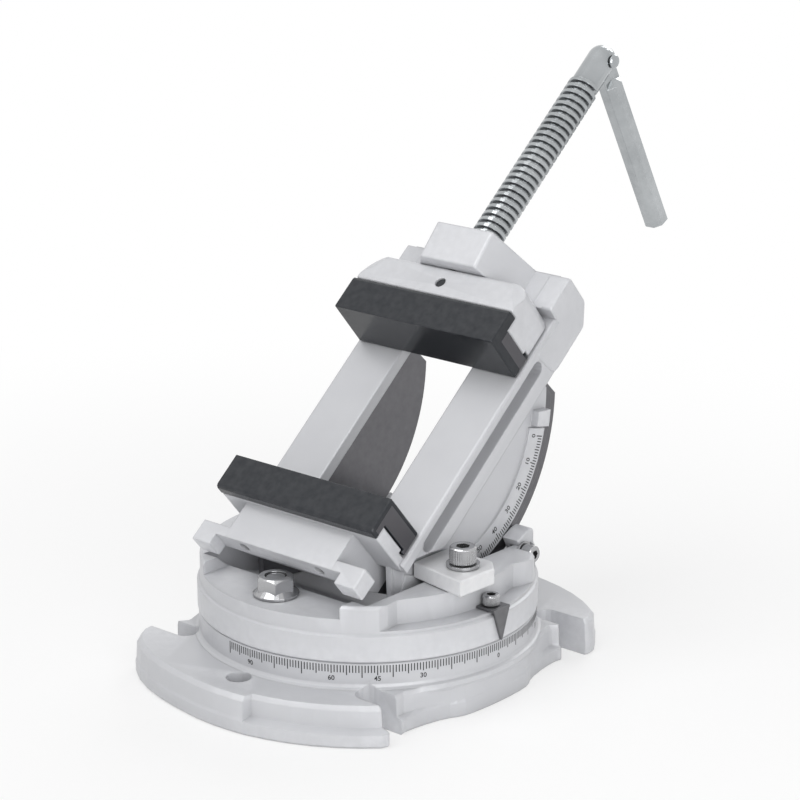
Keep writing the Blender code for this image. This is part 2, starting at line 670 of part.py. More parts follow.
def build_clamps(swivel):
    """T-bolts and flange nuts in the ring slot, in front of and behind the tilt seat."""
    for side, label in ((-1.0, "front"), (1.0, "rear")):
        centre = (0.0, side * RING_SLOT_RADIUS)
        seat = POCKET_FLOOR + SEAT_GAP
        head_top = -RING_NECK_DEPTH - SEAT_GAP
        half = BOLT_HEAD_SIDE / 2.0
        bolt = prism(f"t_bolt_{label}", box_outline(-half, half, centre[1] - half, centre[1] + half),
                     head_top - BOLT_HEAD_HEIGHT, head_top, "Z", "bright_zinc", swivel)
        top = seat + NUT_HEIGHT + BOLT_END
        join(bolt, turned(f"guide_bolt_shank_{label}", [
            (BOLT_RADIUS, head_top - BOLT_HEAD_HEIGHT / 2.0), (BOLT_RADIUS, top - EDGE_BREAK),
            (BOLT_RADIUS - EDGE_BREAK, top)], ROUND_SMALL, "Z", "bright_zinc", swivel, centre))
        nut = turned(f"flange_nut_{label}", [
            (NUT_FLANGE_RADIUS, seat), (NUT_FLANGE_RADIUS, seat + NUT_FLANGE_HEIGHT / 2.0),
            (NUT_FLATS / 2.0, seat + NUT_FLANGE_HEIGHT * 1.6)], ROUND_SMALL, "Z", "bright_zinc", swivel, centre)
        outline = hexagon(NUT_FLATS, centre, math.radians(12.0))
        body = stack(f"guide_nut_body_{label}", [
            [(a, b, seat + NUT_FLANGE_HEIGHT / 2.0) for a, b in outline],
            [(a, b, seat + NUT_HEIGHT) for a, b in outline]], "bright_zinc", swivel)
        crown = turned(f"guide_nut_crown_{label}", [
            (NUT_FLANGE_RADIUS, seat - OVERRUN), (NUT_FLANGE_RADIUS, seat + NUT_HEIGHT * 0.72),
            (NUT_FLATS / 2.0 - EDGE_BREAK, seat + NUT_HEIGHT)], ROUND_SMALL, "Z", "bright_zinc", swivel, centre)
        join(nut, combine(body, crown, "INTERSECT"))
        hole = BOLT_RADIUS + SEAT_GAP
        cut(nut, turned(f"guide_nut_hole_{label}", [(hole, seat - OVERRUN), (hole, top + OVERRUN)], ROUND_SMALL, "Z",
                        "bright_zinc", swivel, centre))


def cap_screw(name, axis, centre, seat, head, shank, socket, direction, finish, parent):
    """Cap screw: round head on its seat, shank below it and a hexagon socket."""
    radius, height = head
    shank_radius, shank_length = shank
    flats, depth = socket
    sign = 1.0 if direction > 0.0 else -1.0
    profile = [
        (shank_radius - EDGE_BREAK, seat - sign * shank_length), (shank_radius, seat - sign * (shank_length - EDGE_BREAK)),
        (shank_radius, seat), (radius - EDGE_BREAK / 2.0, seat), (radius, seat + sign * EDGE_BREAK / 2.0),
        (radius, seat + sign * (height - EDGE_BREAK)), (radius - EDGE_BREAK, seat + sign * height)]
    screw = turned(name, profile, ROUND_SMALL, axis, finish, parent, centre)
    low, high = sorted((seat + sign * (height - depth), seat + sign * (height + OVERRUN)))
    cut(screw, prism(f"guide_{name}_socket", hexagon(flats, centre), low, high, axis, finish, parent))
    return screw


def build_straps(swivel):
    """Tilt clamp straps on the cheeks, half a turn apart, each with its washer and cap screw."""
    for side, label in ((-1.0, "left"), (1.0, "right")):
        low = TABLE_CHEEK_TOP + SEAT_GAP
        outline = [(STRAP_INNER_X, STRAP_FRONT_INNER_Y), STRAP_FRONT_OUTER, STRAP_SIDE_BACK, STRAP_BACK_OUTER,
                   (STRAP_INNER_X, STRAP_BACK_INNER_Y)]
        outline = [(side * across, side * along) for across, along in outline]
        strap = prism(f"clamp_strap_{label}", outline, low, low + STRAP_THICKNESS, "Z", "ground_face", swivel,
                      EDGE_BREAK)
        centre = (side * STRAP_SCREW[0], side * STRAP_SCREW[1])
        hole = CAP_SHANK_RADIUS + SEAT_GAP
        cut(strap, turned(f"guide_strap_bore_{label}", [(hole, low - OVERRUN), (hole, low + STRAP_THICKNESS + OVERRUN)],
                          ROUND_SMALL, "Z", "ground_face", swivel, centre))
        base = low + STRAP_THICKNESS + SEAT_GAP
        washer(f"strap_washer_{label}", "Z", centre, base, WASHER_RADIUS, WASHER_THICKNESS, hole, "bright_zinc", swivel)
        cap_screw(f"strap_screw_{label}", "Z", centre, base + WASHER_THICKNESS + SEAT_GAP, (CAP_RADIUS, CAP_HEIGHT),
                  (CAP_SHANK_RADIUS, CAP_SHANK_LENGTH), (CAP_SOCKET_FLATS, CAP_SOCKET_DEPTH), 1.0, "bright_zinc", swivel)


def washer(name, axis, centre, low, radius, thickness, bore, finish, parent):
    """Flat ring washer."""
    ring = turned(name, [(radius, low), (radius, low + thickness)], ROUND_SMALL, axis, finish, parent, centre)
    cut(ring, turned(f"guide_{name}_bore", [(bore, low - OVERRUN), (bore, low + thickness + OVERRUN)], ROUND_SMALL,
                     axis, finish, parent, centre))
    return ring


def build_index_screw(swivel):
    """Cross screw and washer on the tilt index boss."""
    centre = (LOCK_Y, LOCK_Z)
    seat = INDEX_OUTER_X + SEAT_GAP
    washer("tilt_lock_washer", "X", centre, seat, LOCK_WASHER_RADIUS, LOCK_WASHER_THICKNESS,
           LOCK_SHANK_RADIUS + SEAT_GAP, "bright_zinc", swivel)
    cap_screw("tilt_lock_screw", "X", centre, seat + LOCK_WASHER_THICKNESS + SEAT_GAP,
              (LOCK_HEAD_RADIUS, LOCK_HEAD_LENGTH), (LOCK_SHANK_RADIUS, LOCK_SHANK_LENGTH),
              (LOCK_SOCKET_FLATS, LOCK_HEAD_LENGTH * 0.6), 1.0, "bright_zinc", swivel)


def build_pointer(swivel):
    """Swivel pointer: a plate on its step with a pointed tongue folded down over the scale, and its screw."""
    base = POINTER_STEP_Z + SEAT_GAP
    outer = TABLE_RING_RADIUS + SEAT_GAP
    flat = box_outline(POINTER_INNER_X, outer + POINTER_THICKNESS, -POINTER_HALF, POINTER_HALF)
    plate = prism("swivel_pointer", flat, base, base + POINTER_THICKNESS, "Z", "dark_plate", swivel)
    tongue = [(-POINTER_HALF, base + POINTER_THICKNESS), (-EDGE_BREAK / 2.0, POINTER_TIP_Z),
              (EDGE_BREAK / 2.0, POINTER_TIP_Z), (POINTER_HALF, base + POINTER_THICKNESS)]
    join(plate, prism("guide_pointer_tongue", tongue, outer, outer + POINTER_THICKNESS, "X", "dark_plate", swivel))
    hole = POINTER_SHANK_RADIUS + SEAT_GAP
    centre = (POINTER_SCREW_X, 0.0)
    cut(plate, turned("guide_pointer_bore", [(hole, base - OVERRUN), (hole, base + POINTER_THICKNESS + OVERRUN)],
                      ROUND_SMALL, "Z", "dark_plate", swivel, centre))
    cap_screw("swivel_pointer_screw", "Z", centre, base + POINTER_THICKNESS + SEAT_GAP,
              (POINTER_HEAD_RADIUS, POINTER_HEAD_HEIGHT), (POINTER_SHANK_RADIUS, POINTER_SHANK_LENGTH - EDGE_BREAK),
              (POINTER_SOCKET_FLATS, POINTER_HEAD_HEIGHT * 0.6), 1.0, "bright_zinc", swivel)


# Vise body in the tilting frame
def side_outline():
    """Side wall seen along X, below the rail: the belly and the rounded front corner."""
    top = RAIL_TOP - RAIL_LIP / 2.0
    front = FIXED_FACE_U - JAW_PLATE_DEPTH
    points = [(front + SIDE_FRONT_STEP, top), (BRIDGE_FRONT_U + OVERRUN, top), (BRIDGE_FRONT_U + OVERRUN, SIDE_BOTTOM),
              (SIDE_BELLY_U, SIDE_BOTTOM), (SIDE_FRONT_U, CHANNEL_BOTTOM)]
    return rounded(points, [0.0, 0.0, 0.0, OVERRUN * 2.0, OVERRUN * 2.0])


def wing_outline():
    """Rear wing of the bridge seen along X: it reaches forward beside the jaw and down to the heel."""
    inner = BRIDGE_FRONT_U + WING_STEP
    top = RAIL_TOP - RAIL_LIP / 3.0
    points = [(SIDE_REAR_U, top), (inner, top), (inner, BRIDGE_SHOULDER), (BRIDGE_REAR_U, BRIDGE_SHOULDER),
              (BRIDGE_REAR_U, BRIDGE_HEEL_V), (BRIDGE_HEEL_U, BRIDGE_BOTTOM), (SIDE_REAR_U + RAIL_LIP / 2.0, BRIDGE_BOTTOM)]
    return rounded(points[::-1], [OVERRUN, OVERRUN, OVERRUN, EDGE_BREAK * 2.5, EDGE_BREAK * 2.5, 0.0, OVERRUN / 2.0], 3)


def build_body(tilt):
    """Vise body: front block and flange, two rails with their side channels, quadrants and bridge."""
    silver = "cast_silver"
    web_front = FIXED_FACE_U - JAW_PLATE_DEPTH + JAW_CLEAR
    tongue_rear = FIXED_FACE_U - JAW_PLATE_SOLID - JAW_CLEAR
    seat_top = JAW_PLATE_TOP - JAW_LIP - JAW_CLEAR
    hook = JAW_PLATE_BOTTOM + JAW_HOOK + JAW_CLEAR
    hook_u = tongue_rear - JAW_HOOK_DROP - JAW_CLEAR
    under = RAIL_TOP - JAW_CLEAR
    neck = [(NECK_FRONT_U, BLOCK_TOP), (NECK_FRONT_U, BLOCK_TOP - FLANGE_THICKNESS), (NECK_FOOT_U, NECK_FOOT_V),
            (web_front, WEB_BOTTOM), (WEB_REAR_U, WEB_BOTTOM), (WEB_REAR_U, under), (hook_u, under), (hook_u, hook),
            (tongue_rear, hook), (tongue_rear, BLOCK_TOP)]
    body = prism("vise_body", rounded(neck, [0.0, 0.0, OVERRUN * 2.0, OVERRUN, 0.0, 0.0, 0.0, 0.0, 0.0, 0.0]), -NECK_HALF,
                 NECK_HALF, "X", silver, tilt)
    low = RAIL_TOP - OVERRUN
    inner = hook_u - WING_STEP
    rear = tongue_rear - WING_STEP
    tongue = [(web_front - WING_STEP, low), (inner, low), (inner, hook + WING_STEP), (rear, hook + WING_STEP),
              (rear, seat_top), (web_front - WING_STEP, seat_top)]
    join(body, prism("guide_fixed_tongue", tongue, -JAW_TONGUE_HALF, JAW_TONGUE_HALF, "X", silver, tilt, EDGE_BREAK))
    rear = BRIDGE_REAR_U - WING_STEP * 2.0
    bridge = box_outline(BRIDGE_FRONT_U, rear, BRIDGE_HEEL_V - OVERRUN / 2.0, BRIDGE_SHOULDER - WING_STEP)
    span = QUADRANT_INNER + RAIL_LIP
    join(body, prism("guide_bridge", bridge, -span, span, "X", silver, tilt))
    flange = rounded([(FLANGE_FRONT_U, BLOCK_TOP), (FLANGE_FRONT_U, BLOCK_TOP - FLANGE_THICKNESS),
                      (FLANGE_REAR_U, BLOCK_TOP - FLANGE_THICKNESS - EDGE_BREAK),
                      (FLANGE_REAR_U, BLOCK_TOP - EDGE_BREAK * 0.2)], EDGE_BREAK, 2)
    join(body, prism("guide_flange", flange, -FLANGE_HALF, FLANGE_HALF, "X", silver, tilt, EDGE_BREAK))
    cut_low = BLOCK_TOP - FLANGE_THICKNESS - OVERRUN
    notch = box_outline(FLANGE_FRONT_U - OVERRUN, NECK_FRONT_U, cut_low, BLOCK_TOP + OVERRUN)
    cut(body, prism("guide_flange_notch", notch, -FLANGE_CUT_HALF, FLANGE_CUT_HALF, "X", silver, tilt))
    for side, label in ((-1.0, "left"), (1.0, "right")):
        centre = (side * FLANGE_HOLE_X, BLOCK_TOP - FLANGE_THICKNESS / 2.0)
        cut(body, turned(f"guide_flange_hole_{label}", [
            (FLANGE_HOLE_RADIUS, NECK_FRONT_U - OVERRUN), (FLANGE_HOLE_RADIUS, NECK_FRONT_U + FLANGE_HOLE_DEPTH)],
            ROUND_SMALL, "Y", silver, tilt, centre))
        wall_face = RAIL_OUTER - WING_STEP * 2.0
        join(body, prism(f"guide_side_{label}", side_outline(), *sorted((side * SIDE_INNER, side * wall_face)), "X",
                         silver, tilt))
        rail = rounded([(RAIL_INNER, RAIL_TOP - RAIL_LIP), (RAIL_OUTER, RAIL_TOP - RAIL_LIP), (RAIL_OUTER, RAIL_TOP),
                        (RAIL_INNER, RAIL_TOP)], [0.0, EDGE_BREAK, EDGE_BREAK * 2.0, EDGE_BREAK], 2)
        join(body, prism(f"guide_rail_{label}", rail if side > 0.0 else mirrored(rail), web_front + WING_STEP * 3.0,
                         BRIDGE_FRONT_U + OVERRUN * 1.5, "Y", silver, tilt))
        for ring, radius, face in (("rim", QUADRANT_RADIUS, QUADRANT_RIM_OUTER),
                                   ("web", QUADRANT_STEP_RADIUS, QUADRANT_OUTER)):
            quadrant = arc(radius, QUADRANT_FRONT, QUADRANT_REAR, 36)
            lift = 0.0 if ring == "rim" else RAIL_LIP / 8.0
            quadrant += [(SIDE_REAR_U - lift, RAIL_TOP - RAIL_LIP * 1.5 - lift),
                         (web_front + lift, RAIL_TOP - RAIL_LIP * 0.5 - lift)]
            inner = QUADRANT_INNER if ring == "rim" else (QUADRANT_INNER + QUADRANT_RIM_OUTER) / 2.0
            join(body, prism(f"guide_{ring}_{label}", quadrant, *sorted((side * inner, side * face)), "X", silver, tilt))
        inner = (QUADRANT_OUTER + QUADRANT_RIM_OUTER) / 2.0
        scale = arc(SCALE_RADIUS, QUADRANT_FRONT, SCALE_REAR, 32)
        scale += arc(SCALE_RADIUS - SCALE_BAND, SCALE_REAR, QUADRANT_FRONT, 32)
        join(body, prism(f"guide_scale_{label}", scale, *sorted((side * inner, side * SCALE_FACE)), "X", silver, tilt))
        pad = SCALE_RADIUS - SCALE_FACE + QUADRANT_OUTER
        block = arc(pad, PAD_FRONT, PAD_REAR, 3) + arc(pad - PAD_BAND, PAD_REAR, PAD_FRONT, 3)
        join(body, prism(f"guide_pad_{label}", block, *sorted((side * inner, side * PAD_OUTER)), "X", silver, tilt))
        channel = stadium(CHANNEL_FRONT_U, CHANNEL_REAR_U, (CHANNEL_TOP - CHANNEL_BOTTOM) / 2.0,
                          (CHANNEL_TOP + CHANNEL_BOTTOM) / 2.0, 6)
        depth = RAIL_OUTER - CHANNEL_DEPTH
        cut(body, prism(f"guide_channel_{label}", channel, *sorted((side * depth, side * (RAIL_OUTER + OVERRUN))), "X",
                        silver, tilt))
        wing = sorted((side * (SIDE_INNER - RAIL_LIP / 8.0), side * BRIDGE_HALF))
        join(body, prism(f"guide_wing_{label}", wing_outline(), *wing,
                         "X", silver, tilt, EDGE_BREAK))
    drop = BRIDGE_SHOULDER - OVERRUN
    foot = BOSS_FOOT_HALF + OVERRUN * (BOSS_FOOT_HALF - BOSS_TOP_HALF) / (BOSS_TOP_FRONT - BRIDGE_SHOULDER)
    rings = []
    for along, top, inset in ((BRIDGE_FRONT_U, BOSS_TOP_FRONT, EDGE_BREAK),
                              (BRIDGE_FRONT_U + EDGE_BREAK, BOSS_TOP_FRONT, 0.0),
                              (BRIDGE_REAR_U - EDGE_BREAK, BOSS_TOP_REAR, 0.0),
                              (BRIDGE_REAR_U, BOSS_TOP_REAR, EDGE_BREAK)):
        outline = rounded([(-foot, drop), (foot, drop), (BOSS_TOP_HALF, top), (-BOSS_TOP_HALF, top)],
                          [0.0, 0.0, EDGE_BREAK * 3.0, EDGE_BREAK * 3.0])
        rings.append([place("Y", a, b, along) for a, b in inset_outline(outline, inset)])
    join(body, stack("guide_boss", rings, silver, tilt))
    bore = THREAD_CREST + SCREW_CLEAR
    cut(body, turned("guide_screw_bore", [(bore, BRIDGE_FRONT_U - OVERRUN), (bore, BRIDGE_REAR_U + OVERRUN)],
                     ROUND_MID, "Y", silver, tilt, centre=(0.0, SCREW_V)))
    return body


# Jaws
def jaw_plate_outline(face, outward):
    """Jaw plate seen along X: solid face part, top lip and bottom hook, outward from the clamp face."""
    solid = face + outward * JAW_PLATE_SOLID
    back = face + outward * JAW_PLATE_DEPTH
    hook = solid + outward * JAW_HOOK_DROP
    points = [(face, JAW_PLATE_BOTTOM), (face, JAW_PLATE_TOP), (back, JAW_PLATE_TOP), (back, JAW_PLATE_TOP - JAW_LIP),
              (solid, JAW_PLATE_TOP - JAW_LIP), (solid, JAW_PLATE_BOTTOM + JAW_HOOK), (hook, JAW_PLATE_BOTTOM + JAW_HOOK),
              (hook, JAW_PLATE_BOTTOM)]
    small = EDGE_BREAK
    return rounded(points, [small, small, small * 3.0, small, 0.0, 0.0, small, small], 2)


def build_jaws(tilt, slide):
    """Fixed and moving jaw plates, the moving jaw casting and its set screw."""
    prism("fixed_jaw_plate", jaw_plate_outline(FIXED_FACE_U, -1.0), -JAW_HALF, JAW_HALF, "X", "black_steel", tilt,
          EDGE_BREAK)
    face = FIXED_FACE_U + JAW_OPENING
    prism("moving_jaw_plate", jaw_plate_outline(face, 1.0), -JAW_HALF, JAW_HALF, "X", "black_steel", slide, EDGE_BREAK)
    front = face + JAW_PLATE_SOLID + JAW_CLEAR
    lip_end = face + JAW_PLATE_DEPTH + JAW_CLEAR
    seat = JAW_PLATE_TOP - JAW_LIP - JAW_CLEAR
    back = BRIDGE_FRONT_U - JAW_CLEAR
    hook = front + JAW_HOOK_DROP + JAW_CLEAR
    bottom = RAIL_TOP + JAW_CLEAR
    outline = [(front, JAW_PLATE_BOTTOM + JAW_HOOK + JAW_CLEAR), (front, seat), (lip_end, seat),
               (lip_end, JAW_TOP_FRONT), (back, JAW_TOP_REAR), (back, bottom), (hook, bottom),
               (hook, JAW_PLATE_BOTTOM + JAW_HOOK + JAW_CLEAR)]
    small = EDGE_BREAK
    jaw = prism("moving_jaw", rounded(outline, [0.0, small, 0.0, small * 2.0, small * 4.0, 0.0, 0.0, 0.0], 3),
                -JAW_TONGUE_HALF, JAW_TONGUE_HALF, "X", "cast_silver", slide, EDGE_BREAK)
    far = JAW_HALF + OVERRUN
    for side, label in ((-1.0, "left"), (1.0, "right")):
        corner = [(JAW_TONGUE_HALF - JAW_BACK_CORNER, back + OVERRUN), (JAW_TONGUE_HALF - JAW_BACK_CORNER, back)]
        corner += arc(JAW_BACK_CORNER, math.pi / 2.0, 0.0, 6, (JAW_TONGUE_HALF - JAW_BACK_CORNER, back - JAW_BACK_CORNER))
        corner += [(far, back - JAW_BACK_CORNER), (far, back + OVERRUN)]
        outline = corner if side > 0.0 else mirrored(corner)
        cut(jaw, prism(f"guide_jaw_corner_{label}", outline, RAIL_TOP - OVERRUN, JAW_PLATE_TOP + OVERRUN, "Z",
                       "cast_silver", slide))
        slope = [(side * JAW_BACK_CORNER * 2.4, JAW_TOP_FRONT + OVERRUN), (side * far, JAW_TOP_FRONT + OVERRUN),
                 (side * far, JAW_TOP_REAR - JAW_BACK_DROP)]
        lower, upper = lip_end + EDGE_BREAK, back + OVERRUN
        rings = [[(a, lower, b + JAW_BACK_DROP) for a, b in slope], [(a, upper, b) for a, b in slope]]
        cut(jaw, stack(f"guide_jaw_slope_{label}", rings, "cast_silver", slide))
    tongue = box_outline(-RAIL_INNER + JAW_CLEAR, RAIL_INNER - JAW_CLEAR, RAIL_TOP - RAIL_LIP, RAIL_TOP + OVERRUN)
    join(jaw, prism("guide_jaw_tongue", tongue, hook + EDGE_BREAK, back - EDGE_BREAK, "Y", "cast_silver", slide))
    bore = THREAD_CREST + SCREW_CLEAR
    tip_bore = SCREW_TIP_RADIUS + SCREW_CLEAR
    cut(jaw, turned("guide_jaw_bore", [
        (tip_bore, SCREW_TIP_U - SCREW_CLEAR), (tip_bore, SCREW_SHOULDER_U - SCREW_CLEAR),
        (bore, SCREW_SHOULDER_U - SCREW_CLEAR), (bore, back + OVERRUN)], ROUND_MID, "Y", "cast_silver", slide,
        centre=(0.0, SCREW_V)))
    hole = SET_SCREW_RADIUS + SEAT_GAP
    cut(jaw, turned("guide_set_hole", [(hole, SCREW_V + THREAD_CREST), (hole, JAW_PLATE_TOP + OVERRUN)], ROUND_SMALL, "Z",
                    "cast_silver", slide, centre=(0.0, SET_SCREW_U)))
    top = JAW_TOP_REAR + EDGE_BREAK - SET_SCREW_SUNK
    low = SCREW_V + SCREW_BODY_RADIUS + SEAT_GAP
    screw = turned("jaw_set_screw", [(SET_SCREW_RADIUS, low), (SET_SCREW_RADIUS, top)], ROUND_SMALL, "Z", "dark_plate",
                   slide, (0.0, SET_SCREW_U))
    cut(screw, prism("guide_set_socket", hexagon(SET_SCREW_RADIUS, (0.0, SET_SCREW_U)), low + SET_SCREW_WALL,
                     top + OVERRUN, "Z", "dark_plate", slide))
    build_retainer(slide, jaw)


def build_retainer(slide, jaw):
    """Retaining plate under the rails with the two screws that hold it to the jaw's tongue."""
    top = RAIL_TOP - RAIL_LIP - JAW_CLEAR
    low = top - RETAINER_THICKNESS
    plate = prism("retaining_plate", box_outline(RETAINER_FRONT_U, RETAINER_REAR_U, low, top), -RETAINER_HALF,
                  RETAINER_HALF, "X", "ground_face", slide, EDGE_BREAK)
    middle = (RETAINER_FRONT_U + RETAINER_REAR_U) / 2.0
    bore = RETAINER_SCREW_RADIUS + SEAT_GAP
    for side, label in ((-1.0, "left"), (1.0, "right")):
        centre = (side * RETAINER_SCREW_X, middle)
        for target, name in ((plate, "plate"), (jaw, "jaw")):
            cut(target, turned(f"guide_retainer_{name}_{label}", [(bore, low - OVERRUN), (bore, RAIL_TOP - EDGE_BREAK)],
                               ROUND_SMALL, "Z", "ground_face", slide, centre))
        seat = low - SEAT_GAP
        cap_screw(f"retaining_screw_{label}", "Z", centre, seat, (RETAINER_HEAD_RADIUS, RETAINER_HEAD_HEIGHT),
                  (RETAINER_SCREW_RADIUS, RAIL_TOP - EDGE_BREAK * 2.0 - seat),
                  (RETAINER_SCREW_RADIUS * 1.6, RETAINER_HEAD_HEIGHT * 0.6), -1.0, "bright_zinc", slide)


# Lead screw and handle
def thread_solid(name, parent):
    """Right-hand trapezoid thread along U as one swept strip, closed by a fan at each end."""
    flank = THREAD_PITCH * THREAD_FLANK_SHARE
    crest = THREAD_PITCH * THREAD_CREST_SHARE
    section = [(THREAD_ROOT, 0.0), (THREAD_CREST, flank), (THREAD_CREST, flank + crest), (THREAD_ROOT, flank * 2.0 + crest)]
    turns = round((THREAD_END_U - THREAD_START_U) / THREAD_PITCH) - 1
    steps = turns * THREAD_SIDES
    vertices, faces = [], []
    for index in range(steps + 1):
        angle = FULL_TURN * index / THREAD_SIDES
        for radius, offset in section:
            along = THREAD_START_U + offset + THREAD_PITCH * index / THREAD_SIDES
            vertices.append((radius * math.cos(angle), along, -radius * math.sin(angle) + SCREW_V))
    for index in range(THREAD_SIDES):
        angle = FULL_TURN * (steps + 1 + index) / THREAD_SIDES
        along = THREAD_START_U + THREAD_PITCH * (steps + 1 + index) / THREAD_SIDES
        vertices.append((THREAD_ROOT * math.cos(angle), along, -THREAD_ROOT * math.sin(angle) + SCREW_V))
    extra = 4 * (steps + 1)

    def root(index):
        """Number of the root point that opens the section at one step."""
        return 4 * index if index <= steps else extra + index - steps - 1

    for index in range(steps):
        here, after = 4 * index, 4 * (index + 1)
        for corner in range(3):
            faces.append([here + corner, here + corner + 1, after + corner + 1, after + corner])
        faces.append([here + 3, root(index + THREAD_SIDES), root(index + 1 + THREAD_SIDES), after + 3])
    low_centre = len(vertices)
    middle = (flank * 2.0 + crest) / 2.0
    vertices.append((0.0, THREAD_START_U + middle, SCREW_V))
    high_centre = len(vertices)
    vertices.append((0.0, THREAD_START_U + THREAD_PITCH * turns + middle, SCREW_V))
    start = [0, 1, 2, 3] + [root(index) for index in range(THREAD_SIDES, -1, -1)]
    end = [4 * steps + corner for corner in (0, 1, 2, 3)]
    end += [root(steps + index) for index in range(THREAD_SIDES, -1, -1)]
    for loop, centre in ((start, low_centre), (end, high_centre)):
        for here, after in zip(loop, loop[1:]):
            faces.append([here, after, centre])
    return add_mesh(name, vertices, faces, "bright_zinc", parent, math.radians(30.0))


def build_screw(turning):
    """Lead screw: stepped tip with a groove, thread, smooth forked head with a dome, and the cross pin."""
    groove = SCREW_BODY_RADIUS - SCREW_GROOVE_DEPTH
    profile = [
        (SCREW_TIP_RADIUS - EDGE_BREAK, SCREW_TIP_U), (SCREW_TIP_RADIUS, SCREW_TIP_U + EDGE_BREAK),
        (SCREW_TIP_RADIUS, SCREW_SHOULDER_U), (SCREW_BODY_RADIUS, SCREW_SHOULDER_U),
        (SCREW_BODY_RADIUS, SCREW_GROOVE_U - SCREW_GROOVE_WIDTH / 2.0), (groove, SCREW_GROOVE_U - SCREW_GROOVE_WIDTH / 2.0),
        (groove, SCREW_GROOVE_U + SCREW_GROOVE_WIDTH / 2.0), (SCREW_BODY_RADIUS, SCREW_GROOVE_U + SCREW_GROOVE_WIDTH / 2.0),
        (SCREW_BODY_RADIUS, THREAD_START_U + THREAD_PITCH * 0.6), (THREAD_ROOT, THREAD_START_U + THREAD_PITCH * 1.1),
        (THREAD_ROOT - SEAT_GAP, THREAD_START_U + THREAD_PITCH * 2.0)]
    screw = turned("lead_screw", profile, ROUND_SMALL, "Y", "bright_zinc", turning, centre=(0.0, SCREW_V))
    join(screw, thread_solid("guide_thread", turning))
    dome = []
    for step in range(9):
        angle = math.pi / 2.0 * step / 9
        dome.append((HEAD_RADIUS * math.cos(angle), HEAD_TIP_U - HEAD_RADIUS + HEAD_RADIUS * math.sin(angle)))
    dome.append((HEAD_RADIUS * math.cos(math.pi / 2.0 * 0.95), HEAD_TIP_U - EDGE_BREAK / 9.0))
    neck = THREAD_END_U - THREAD_PITCH * 0.4
    head = [(THREAD_ROOT - SEAT_GAP, neck - THREAD_PITCH), (HEAD_RADIUS - EDGE_BREAK, neck),
            (HEAD_RADIUS, neck + EDGE_BREAK)] + dome
    join(screw, turned("guide_screw_head", head, ROUND_MID, "Y", "bright_zinc", turning, centre=(0.0, SCREW_V)))
    far = HEAD_RADIUS + OVERRUN
    cut(screw, prism("guide_fork", fork_outline(), -FORK_WIDTH / 2.0, FORK_WIDTH / 2.0, "X", "bright_zinc", turning))
    bore = PIN_RADIUS + SEAT_GAP
    centre = (HEAD_PIN_U, SCREW_V)
    cut(screw, turned("guide_pin_bore", [(bore, -far), (bore, far)], ROUND_SMALL, "X", "bright_zinc", turning, centre))
    end = HEAD_RADIUS + PIN_PROUD
    turned("handle_pin", [
        (PIN_RADIUS - EDGE_BREAK / 2.0, -end), (PIN_RADIUS, -end + EDGE_BREAK / 2.0), (PIN_RADIUS, end),
        (PIN_HEAD_RADIUS, end), (PIN_HEAD_RADIUS, end + PIN_HEAD_HEIGHT / 2.0),
        (PIN_HEAD_RADIUS - EDGE_BREAK, end + PIN_HEAD_HEIGHT)], ROUND_SMALL, "X", "bright_zinc", turning, centre)
    return screw


def fork_outline():
    """Blind slot in the head seen along X: round over the pin, open below through the handle's whole swing."""
    radius = HANDLE_TONGUE_RADIUS + FORK_CLEAR
    hang = -math.pi / 2.0 + HANDLE_HANG - TILT_ANGLE
    back, out = hang - HANDLE_SWING_BACK, hang + HANDLE_SWING_OUT
    centre = (HEAD_PIN_U, SCREW_V)
    outline = arc(radius, out + math.pi / 2.0, back + 3.0 * math.pi / 2.0, 16, centre)
    reach = HEAD_RADIUS * 2.0
    for swing, point in ((back, outline[-1]), (out, outline[0])):
        outline.append((point[0] + reach * math.cos(swing), point[1] + reach * math.sin(swing)))
    return outline


def build_handle(hinge):
    """Drop handle: eight-sided bar hanging down from a flat tongue with the pin's hole."""
    turn = math.pi / HANDLE_SIDES
    bar = turned("drop_handle", [
        (HANDLE_RADIUS - HANDLE_CHAMFER, -HANDLE_LENGTH), (HANDLE_RADIUS, -HANDLE_LENGTH + HANDLE_CHAMFER),
        (HANDLE_RADIUS, -HANDLE_SHOULDER - HANDLE_SHOULDER_SLOPE),
        (FORK_WIDTH / 2.0, -HANDLE_SHOULDER)], HANDLE_SIDES, "Z", "bright_zinc", hinge, turn=turn)
    half = FORK_WIDTH / 2.0 - SEAT_GAP
    radius = HANDLE_TONGUE_RADIUS
    outline = arc(radius, 0.0, math.pi, 12) + [(-radius, -HANDLE_SHOULDER - HANDLE_SHOULDER_SLOPE),
                                              (radius, -HANDLE_SHOULDER - HANDLE_SHOULDER_SLOPE)]
    join(bar, prism("guide_handle_tongue", outline, -half, half, "X", "bright_zinc", hinge, EDGE_BREAK))
    bore = PIN_RADIUS + SEAT_GAP
    cut(bar, turned("guide_handle_bore", [(bore, -FORK_WIDTH), (bore, FORK_WIDTH)], ROUND_SMALL, "X", "bright_zinc",
                    hinge))
    return bar


def build_part():
    """Clear the scene and model the vise with its moving groups parented from the base up."""
    for item in list(bpy.data.objects):
        bpy.data.objects.remove(item, do_unlink=True)
    build_base()
    swivel = add_empty("swivel_axis", None, (0.0, 0.0, BASE_HEIGHT))
    build_table(swivel)
    build_clamps(swivel)
    build_straps(swivel)
    build_index_screw(swivel)
    build_pointer(swivel)
    tilt = add_empty("tilt_axis", swivel, (0.0, 0.0, TILT_AXIS_HEIGHT), TILT_ANGLE)
    build_body(tilt)
    slide = add_empty("jaw_slide", tilt)
    build_jaws(tilt, slide)
    build_screw(slide)
    hinge = add_empty("handle_axis", slide, (0.0, HEAD_PIN_U, SCREW_V), HANDLE_HANG - TILT_ANGLE)
    build_handle(hinge)


build_part()
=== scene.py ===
"""Look of the tilting machine vise: finishes, engraved scales, studio light and camera."""

